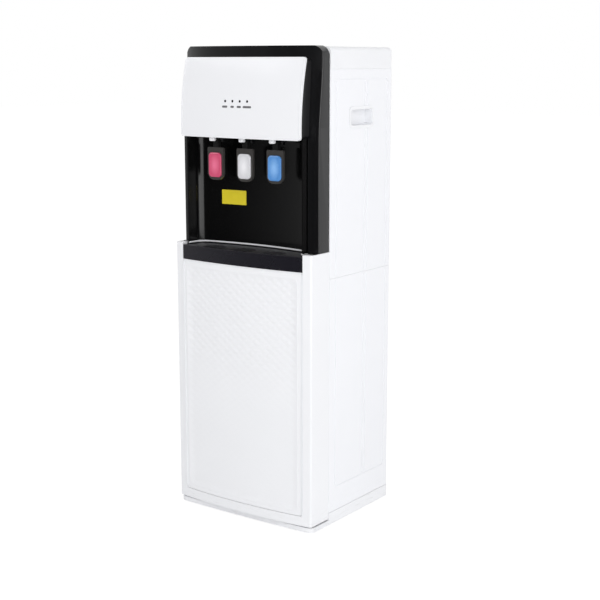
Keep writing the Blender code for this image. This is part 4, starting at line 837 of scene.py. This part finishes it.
# %% Round the cushions
rounding = quilt.modifiers.new("pillows", "SUBSURF")
rounding.levels = 2
rounding.render_levels = 2
rounding.boundary_smooth = "PRESERVE_CORNERS"
wall = quilt.modifiers.new("wall", "SOLIDIFY")
wall.thickness = PANEL_WALL
wall.offset = -1
apply_modifiers(quilt)
bpy.ops.object.shade_smooth_by_angle(angle=math.radians(60))
put_on(quilt, "door", "white_shell", "door_panel")
print(len(quilt.data.polygons), "faces in the panel")

# %% [markdown]
# ## Soft seals of the door
# A door this size closes on a soft white lip, so no dark gap shows round it. The lips at the top
# and the left ride on the door. The one on the hinge side sits on the cabinet, out of the way of
# the turning edge.

# %% Seals
SEAL_BACK = 0.0007
SEAL_DEPTH = 0.0035
SEAL_PLAY = 0.0002
SEAL_EDGE = 0.00025
TOP_LIP = (0.0015, 0.0010)
LEFT_LIP = (0.0010, 0.0030)
HINGE_LIP = 0.0012
LIP_INSET = 0.002


def seal_strip(name, body, x_range, z_range, columns):
    """A strip that follows the bow of the door a little behind its face."""
    (x0, x1), (z0, z1) = x_range, z_range
    bpy.ops.object.select_all(action="DESELECT")
    bpy.ops.mesh.primitive_cube_add(size=1, location=((x0 + x1) / 2, SEAL_DEPTH / 2, (z0 + z1) / 2),
                                    scale=(x1 - x0, SEAL_DEPTH, z1 - z0))
    strip = bpy.context.object
    strip.name = name
    bpy.ops.object.transform_apply(location=True, rotation=True, scale=True)
    bpy.ops.object.mode_set(mode="EDIT")
    for number in range(1, columns):
        bpy.ops.mesh.select_all(action="SELECT")
        bpy.ops.mesh.bisect(plane_co=(x0 + (x1 - x0) * number / columns, 0, 0), plane_no=(1, 0, 0))
    bpy.ops.object.mode_set(mode="OBJECT")
    for point in strip.data.vertices:
        point.co.y += seat_at(point.co.x) - lowest + SEAL_BACK
    soften(strip, SEAL_EDGE, 40)
    return put_on(strip, body, "seal_white")


moulded("seal_white", (0.86, 0.87, 0.895), 0.55, drift=0.02, dust=0.0, scuffs=0.0)
seal_strip("seal_top", "door", (rim_low.x + LIP_INSET, rim_high.x - LIP_INSET),
           (rim_high.z - TOP_LIP[0], rim_high.z + TOP_LIP[1]), 16)
seal_strip("seal_left", "door", (rim_low.x - LEFT_LIP[0], rim_low.x + LEFT_LIP[1]),
           (rim_low.z + 2 * LIP_INSET, rim_high.z - LIP_INSET / 2), 1)
seal_strip("seal_hinge", "cabinet", (rim_high.x + SEAL_PLAY, rim_high.x + HINGE_LIP),
           (rim_low.z, rim_high.z), 1)
print("three seals")

# %% [markdown]
# ## The paddles
# Each paddle is a rounded slab with a raised face and a shallow dish for the finger or the cup.
# A cube is stretched to the CAD insert's box, its four upright corners are rounded, and two insets
# make the shoulder and the dish.

# %% Paddles in the levers
PADDLE_CORNER = 0.0088
PADDLE_REACH = 0.0010
PADDLE_RISE = 0.0022
SHOULDER = 0.0030
SHOULDER_RISE = 0.0014
DISH = 0.0038
DISH_DEPTH = 0.0010
PADDLE_EDGE = 0.0007


def model_paddle(tap, tint):
    """One domed paddle with a shallow dish."""
    low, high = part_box("insert_" + tap)
    low, high = low - Vector((PADDLE_REACH, PADDLE_RISE, 0)), high + Vector((PADDLE_REACH, 0, 0))
    bpy.ops.object.select_all(action="DESELECT")
    bpy.ops.mesh.primitive_cube_add(size=1, location=(low + high) / 2, scale=high - low)
    paddle = bpy.context.object
    paddle.name = "paddle_" + tap
    bpy.ops.object.transform_apply(location=True, rotation=True, scale=True)
    bpy.ops.object.mode_set(mode="EDIT")
    pick(paddle, lambda face: face.normal.y < -SQUARE_ON)
    bpy.ops.transform.translate(value=(0, SHOULDER_RISE, 0))
    pick(paddle, lambda line: abs((line.verts[0].co - line.verts[1].co).normalized().y) > SQUARE_ON, "EDGE")
    bpy.ops.mesh.bevel(offset=PADDLE_CORNER, segments=8)
    pick(paddle, lambda face: face.normal.y < -SQUARE_ON)
    bpy.ops.mesh.inset(thickness=SHOULDER, depth=0)
    bpy.ops.transform.translate(value=(0, -SHOULDER_RISE, 0))
    bpy.ops.mesh.inset(thickness=DISH, depth=0)
    bpy.ops.transform.translate(value=(0, DISH_DEPTH, 0))
    bpy.ops.object.mode_set(mode="OBJECT")
    soften(paddle, PADDLE_EDGE, 60, 3)
    return put_on(paddle, "tap_lever_" + tap, tint, "insert_" + tap)


for name, (_, _, tap) in PADDLE_TINTS_AND_GLOW.items():
    paddle = model_paddle(tap, name)
    print(paddle.name, len(paddle.data.polygons), "faces")


# %% [markdown]
# ## The yellow plate
# A small enamelled plate sits on the black wall below the first two taps. It stays blank: only a
# pressed border runs round it.

# %% Enamel of the plate
YELLOWS = ((0.690, 0.560, 0.012, 1.0), (0.790, 0.660, 0.022, 1.0))
material, tree, shader = finish("plate_yellow", coat_weight=0.5, coat_roughness=0.1)
point = add(tree, "ShaderNodeTexCoord").outputs["Object"]
cloud = noise(tree, point, 60.0, 4.0)
yellow = blend_colour(tree, cloud, *YELLOWS)
tree.links.new(yellow, shader.inputs["Base Color"])
wipes = use_group(tree, WIPES, roughness=0.30, strength=0.15)
tree.links.new(wipes.outputs["Roughness"], shader.inputs["Roughness"])
raise_surface(tree, shader, wipes.outputs["Height"], 2 * WIPE_DEPTH)
FINISHES["plate_yellow"] = material


# %% Upright sheet
def press_on(item, wall, stand_off):
    """Moves each point of a sheet back or forward until it stands just in front of a wall."""
    for point in item.data.vertices:
        point.co.y += depth_at(wall, point.co.x, point.co.z) - stand_off


def upright_sheet(name, x_range, z_range):
    """A thin upright plane, open for edit mode work."""
    (x0, x1), (z0, z1) = x_range, z_range
    bpy.ops.object.select_all(action="DESELECT")
    bpy.ops.mesh.primitive_plane_add(size=1, location=((x0 + x1) / 2, 0, (z0 + z1) / 2),
                                     rotation=(math.pi / 2, 0, 0))
    sheet = bpy.context.object
    sheet.name = name
    sheet.scale = (x1 - x0, z1 - z0, 1)
    bpy.ops.object.transform_apply(location=True, rotation=True, scale=True)
    return sheet


def bend_on(sheet, wall, stand_off, corner, columns, thickness, edge):
    """Rounds the sheet's corners, cuts it across, lays it on a wall, and gives it its thickness."""
    across, upward = [sorted({corner.co[axis] for corner in sheet.data.vertices}) for axis in (0, 2)]
    low, high = across[0], across[-1]
    bpy.ops.object.mode_set(mode="EDIT")
    bpy.ops.mesh.select_mode(type="VERT")
    bpy.ops.mesh.select_all(action="DESELECT")
    shape = bmesh.from_edit_mesh(sheet.data)
    for point in shape.verts:
        point.select_set(point.co.x in (low, high) and point.co.z in (upward[0], upward[-1]))
    bmesh.update_edit_mesh(sheet.data)
    bpy.ops.mesh.bevel(offset=corner, segments=4, affect="VERTICES")
    for number in range(1, columns):
        bpy.ops.mesh.select_all(action="SELECT")
        bpy.ops.mesh.bisect(plane_co=(low + (high - low) * number / columns, 0, 0), plane_no=(1, 0, 0))
    bpy.ops.object.mode_set(mode="OBJECT")
    press_on(sheet, wall, stand_off + thickness)
    backing = sheet.modifiers.new("wall", "SOLIDIFY")
    backing.thickness = thickness
    backing.offset = -1
    apply_modifiers(sheet)
    bpy.ops.object.mode_set(mode="EDIT")
    bpy.ops.mesh.select_all(action="SELECT")
    bpy.ops.mesh.normals_make_consistent(inside=False)
    bpy.ops.object.mode_set(mode="OBJECT")
    soften(sheet, edge, 40)


# %% Blank plate
PLATE_X = (-0.0980, -0.0345)
PLATE_Z = (0.6967, 0.7284)
PLATE_THICKNESS = 0.0006
PLATE_CORNER = 0.0012
PLATE_BORDER = 0.0022
BORDER_WIDTH = 0.0012
BORDER_DEPTH = 0.00025
PLATE_COLUMNS = 14
STAND_OFF = 0.00015
NICHE_WALL = faces_of(NODES["niche_wall"])
plate = upright_sheet("blank_plate", PLATE_X, PLATE_Z)
bpy.ops.object.mode_set(mode="EDIT")
bpy.ops.mesh.select_mode(type="FACE")
bpy.ops.mesh.select_all(action="SELECT")
bpy.ops.mesh.inset(thickness=PLATE_BORDER, depth=0)
bpy.ops.mesh.inset(thickness=BORDER_WIDTH / 2, depth=0)
bpy.ops.transform.translate(value=(0, BORDER_DEPTH, 0))
bpy.ops.mesh.inset(thickness=BORDER_WIDTH / 2, depth=0)
bpy.ops.transform.translate(value=(0, -BORDER_DEPTH, 0))
bpy.ops.object.mode_set(mode="OBJECT")
bend_on(plate, NICHE_WALL, STAND_OFF, PLATE_CORNER, PLATE_COLUMNS, PLATE_THICKNESS, 0.0)
put_on(plate, "cabinet", "plate_yellow")
print("plate of", len(plate.data.polygons), "faces")

# %% [markdown]
# ## Lamps and their marks
# Four small dark lenses sit in the visor, each with a short printed dash under it. A lens starts as
# a flat cylinder, whose top is inset and pushed out twice, so that it domes. It is modelled once
# and copied to the other three places.

# %% Lamp lenses
LENS_DOME = 0.0007
DOME_STEPS = (0.30, 0.28, 0.22)
low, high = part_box("lamp_1")
lens_centre, lens_half = (low + high) / 2, (high - low) / 2
bpy.ops.object.select_all(action="DESELECT")
bpy.ops.mesh.primitive_cylinder_add(
    vertices=32, radius=lens_half.x, depth=high.y - low.y - LENS_DOME,
    location=(lens_centre.x, lens_centre.y + LENS_DOME / 2, lens_centre.z), rotation=(math.pi / 2, 0, 0),
)
lens = bpy.context.object
lens.name = "lens_1"
bpy.ops.object.transform_apply(location=True, rotation=True, scale=True)
bpy.ops.object.mode_set(mode="EDIT")
pick(lens, lambda face: face.normal.y < -SQUARE_ON)
for share in DOME_STEPS:
    bpy.ops.mesh.inset(thickness=lens_half.x * share, depth=0)
    bpy.ops.transform.translate(value=(0, -LENS_DOME * share, 0))
bpy.ops.object.mode_set(mode="OBJECT")
soften(lens, 0.0, 70)
for number in range(1, 5):
    twin = lens if number == 1 else bpy.data.objects.new(f"lens_{number}", lens.data.copy())
    if number > 1:
        bpy.context.scene.collection.objects.link(twin)
        low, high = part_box(f"lamp_{number}")
        shift = (low + high) / 2 - lens_centre
        for point in twin.data.vertices:
            point.co += shift
    put_on(twin, "cabinet", "lamp_dark", f"lamp_{number}")
print("four lenses,", len(lens.data.polygons), "faces each")

# %% Printed dashes
DASH_LEVEL = 0.9135
DASH_HEIGHT = 0.0044
DASH_THICKNESS = 0.00012
DASH_STAND_OFF = 0.00003
INK_TONES = ((0.10, 0.10, 0.11, 1.0), (0.20, 0.20, 0.21, 1.0))
DASHES = ((-0.0410, -0.0270), (-0.0180, -0.0090), (-0.0010, 0.0100), (0.0150, 0.0370))
material, tree, shader = finish("printed_grey")
point = add(tree, "ShaderNodeTexCoord").outputs["Object"]
ink = blend_colour(tree, noise(tree, point, 900.0, 2.0), *INK_TONES)
tree.links.new(ink, shader.inputs["Base Color"])
rough = ramp(tree, noise(tree, point, 500.0, 2.0), 0.2, 0.8, 0.40, 0.60)
tree.links.new(rough, shader.inputs["Roughness"])
FINISHES["printed_grey"] = material
for number, x_range in enumerate(DASHES, 1):
    z_range = (DASH_LEVEL - DASH_HEIGHT / 2, DASH_LEVEL + DASH_HEIGHT / 2)
    dash = upright_sheet(f"dash_{number}", x_range, z_range)
    bend_on(dash, VISOR_FACE, DASH_STAND_OFF, DASH_HEIGHT * 0.4, 4, DASH_THICKNESS, 0.0)
    put_on(dash, "cabinet", "printed_grey")
print(len(DASHES), "dashes")

# %% [markdown]
# ## Screws
# The two back sheets are held by small cross-head screws. One is modelled from a cylinder: its rim
# is rounded, and two crossed bars are cut out of the head for the driver.

# %% One screw
SCREW_RADIUS = 0.0036
SCREW_HEIGHT = 0.0016
CROSS_LENGTH = 0.0040
CROSS_WIDTH = 0.0009
CROSS_DEPTH = 0.0009
RIM_SHARE = 0.35
CROWN_SHARE = 0.3
SCREW_EDGE = 0.00018
BACK_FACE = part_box("back_upper")[1].y
bpy.ops.object.select_all(action="DESELECT")
bpy.ops.mesh.primitive_cylinder_add(vertices=28, radius=SCREW_RADIUS, depth=SCREW_HEIGHT,
                                    rotation=(math.pi / 2, 0, 0))
screw = bpy.context.object
screw.name = "screw_1"
bpy.ops.object.transform_apply(location=True, rotation=True, scale=True)
bpy.ops.object.mode_set(mode="EDIT")
pick(screw, lambda face: face.normal.y > SQUARE_ON)
bpy.ops.mesh.inset(thickness=SCREW_RADIUS * RIM_SHARE, depth=0)
bpy.ops.transform.translate(value=(0, SCREW_HEIGHT * CROWN_SHARE, 0))
bpy.ops.object.mode_set(mode="OBJECT")
top_y = SCREW_HEIGHT * (0.5 + CROWN_SHARE)
for size in ((CROSS_LENGTH, CROSS_WIDTH), (CROSS_WIDTH, CROSS_LENGTH)):
    bpy.ops.object.select_all(action="DESELECT")
    bpy.ops.mesh.primitive_cube_add(size=1, location=(0, top_y, 0), scale=(size[0], 2 * CROSS_DEPTH, size[1]))
    bar = bpy.context.object
    recess = screw.modifiers.new("recess", "BOOLEAN")
    recess.operation = "DIFFERENCE"
    recess.object = bar
    recess.solver = "EXACT"
    apply_modifiers(screw)
    bpy.data.objects.remove(bar, do_unlink=True)
soften(screw, SCREW_EDGE, 35)
print("screw of", len(screw.data.polygons), "faces")

# %% Screws in their places
SCREW_X = 0.158
SCREW_LEVELS = (0.055, 0.290, 0.530, 0.580, 0.780, 0.970)
first_mesh = screw.data.copy()
for number, (x, z) in enumerate([(side * SCREW_X, z) for z in SCREW_LEVELS for side in (-1, 1)], 1):
    item = screw if number == 1 else bpy.data.objects.new(f"screw_{number}", first_mesh.copy())
    if number > 1:
        bpy.context.scene.collection.objects.link(item)
    for point in item.data.vertices:
        point.co += Vector((x, BACK_FACE + SCREW_HEIGHT / 2, z))
    put_on(item, "cabinet", "zinc_screw")
print(2 * len(SCREW_LEVELS), "screws")

# %% [markdown]
# ## The studio
# The room is white all round, so the pale plastics are lit evenly and the background stays white.
# Black gloss has hardly any colour of its own: it shows what it mirrors. One end of the room, to
# the front left, is therefore kept dark for mirrored rays alone, as a black flannel would do it.
# The same shade goes into the walls and into the floor, so no edge shows between them.

# %% Shade of the room
ROOM_LEVEL = 0.65
DARK_END = Vector((-0.04, -0.9992, 0.0))
DARK_LEVEL = 0.04
DARK_FROM = 0.0
DARK_FULL = 0.92


def seen_by(tree, *kinds):
    """One for the kinds of ray that are named, such as Camera, and nought for the others."""
    rays = add(tree, "ShaderNodeLightPath")
    value = rays.outputs[f"Is {kinds[0]} Ray"]
    for kind in kinds[1:]:
        value = math_node(tree, "MAXIMUM", value, rays.outputs[f"Is {kind} Ray"])
    return value


def room_shade(tree, direction):
    """White all round but for the dark end, by the level direction from the middle."""
    flat = stretched(tree, direction, (1.0, 1.0, 0.0))
    level = add(tree, "ShaderNodeVectorMath", {0: flat}, operation="NORMALIZE").outputs[0]
    towards = add(tree, "ShaderNodeVectorMath", {0: level, 1: DARK_END}, operation="DOT_PRODUCT")
    return ramp(tree, towards.outputs["Value"], DARK_FROM, DARK_FULL, 1.0, DARK_LEVEL)


# %% Walls
world = bpy.data.worlds.new("studio")
world.use_nodes = True
bpy.context.scene.world = world
tree = world.node_tree
mirrored = seen_by(tree, "Glossy")
shade = room_shade(tree, add(tree, "ShaderNodeTexCoord").outputs["Generated"])
strength = math_node(tree, "MAXIMUM", seen_by(tree, "Camera", "Transmission"), ROOM_LEVEL)
strength = math_node(tree, "MULTIPLY", strength, math_node(tree, "SUBTRACT", 1.0, mirrored))
strength = math_node(tree, "ADD", strength, math_node(tree, "MULTIPLY", shade, mirrored))
tree.links.new(strength, tree.nodes["Background"].inputs["Strength"])
tree.nodes["Background"].inputs["Color"].default_value = WHITE
print("walls lit at", ROOM_LEVEL)

# %% Floor
FLOOR_PALE = 0.95
FLOOR_GLOW = 0.88
FLOOR_SHADOW = 0.25
FLOOR_SIZE = 40
bpy.ops.object.select_all(action="DESELECT")
bpy.ops.mesh.primitive_plane_add(size=FLOOR_SIZE, location=(0, 0, CAD_BOX[0].z))
floor = bpy.context.object
floor.name = "floor"
material, tree, shader = finish("pale_floor")
shader.inputs["Specular IOR Level"].default_value = 0.0
shader.inputs["Roughness"].default_value = 0.9
looked_at = seen_by(tree, "Camera", "Transmission")
mirrored = seen_by(tree, "Glossy")
lighting = math_node(tree, "SUBTRACT", 1.0, math_node(tree, "MAXIMUM", looked_at, mirrored))
pale = math_node(tree, "MULTIPLY", lighting, FLOOR_PALE)
pale = math_node(tree, "ADD", pale, math_node(tree, "MULTIPLY", looked_at, FLOOR_SHADOW))
tree.links.new(pale, shader.inputs["Base Color"])
shade = room_shade(tree, add(tree, "ShaderNodeNewGeometry").outputs["Position"])
glow = math_node(tree, "MULTIPLY", looked_at, FLOOR_GLOW)
glow = math_node(tree, "ADD", glow, math_node(tree, "MULTIPLY", mirrored, shade))
emission = add(tree, "ShaderNodeEmission", {"Color": WHITE, "Strength": glow})
both = add(tree, "ShaderNodeAddShader", {0: shader.outputs[0], 1: emission.outputs[0]})
tree.links.new(both.outputs[0], tree.nodes["Material Output"].inputs["Surface"])
floor.data.materials.append(material)
print("floor ready")

# %% [markdown]
# ## The lamps
# One large softbox to the right lights the side and grazes the front, so that the quilted door
# shows its cushions. A weaker one to the left opens the shadows.

# %% Softboxes
MIDDLE = Vector((0.0, 0.0, 0.55))
LAMP_DISTANCE = 3.6


def softbox(name, direction, size, level):
    """A square area lamp. Its level is what it adds to a white face that looks straight at it."""
    lamp = bpy.data.lights.new(name, "AREA")
    lamp.size = size
    lamp.energy = level * (math.pi * LAMP_DISTANCE) ** 2
    item = bpy.data.objects.new(name, lamp)
    away = Vector(direction).normalized()
    item.location = MIDDLE + away * LAMP_DISTANCE
    item.rotation_euler = (-away).to_track_quat("-Z", "Y").to_euler()
    bpy.context.scene.collection.objects.link(item)


softbox("key_right", (0.78, -0.58, 0.15), 2.8, 0.50)
softbox("fill_left", (-0.55, -0.50, 0.65), 2.0, 0.14)
print("two softboxes")

# %% Finish the scene
bpy.context.scene.view_settings.view_transform = "Standard"
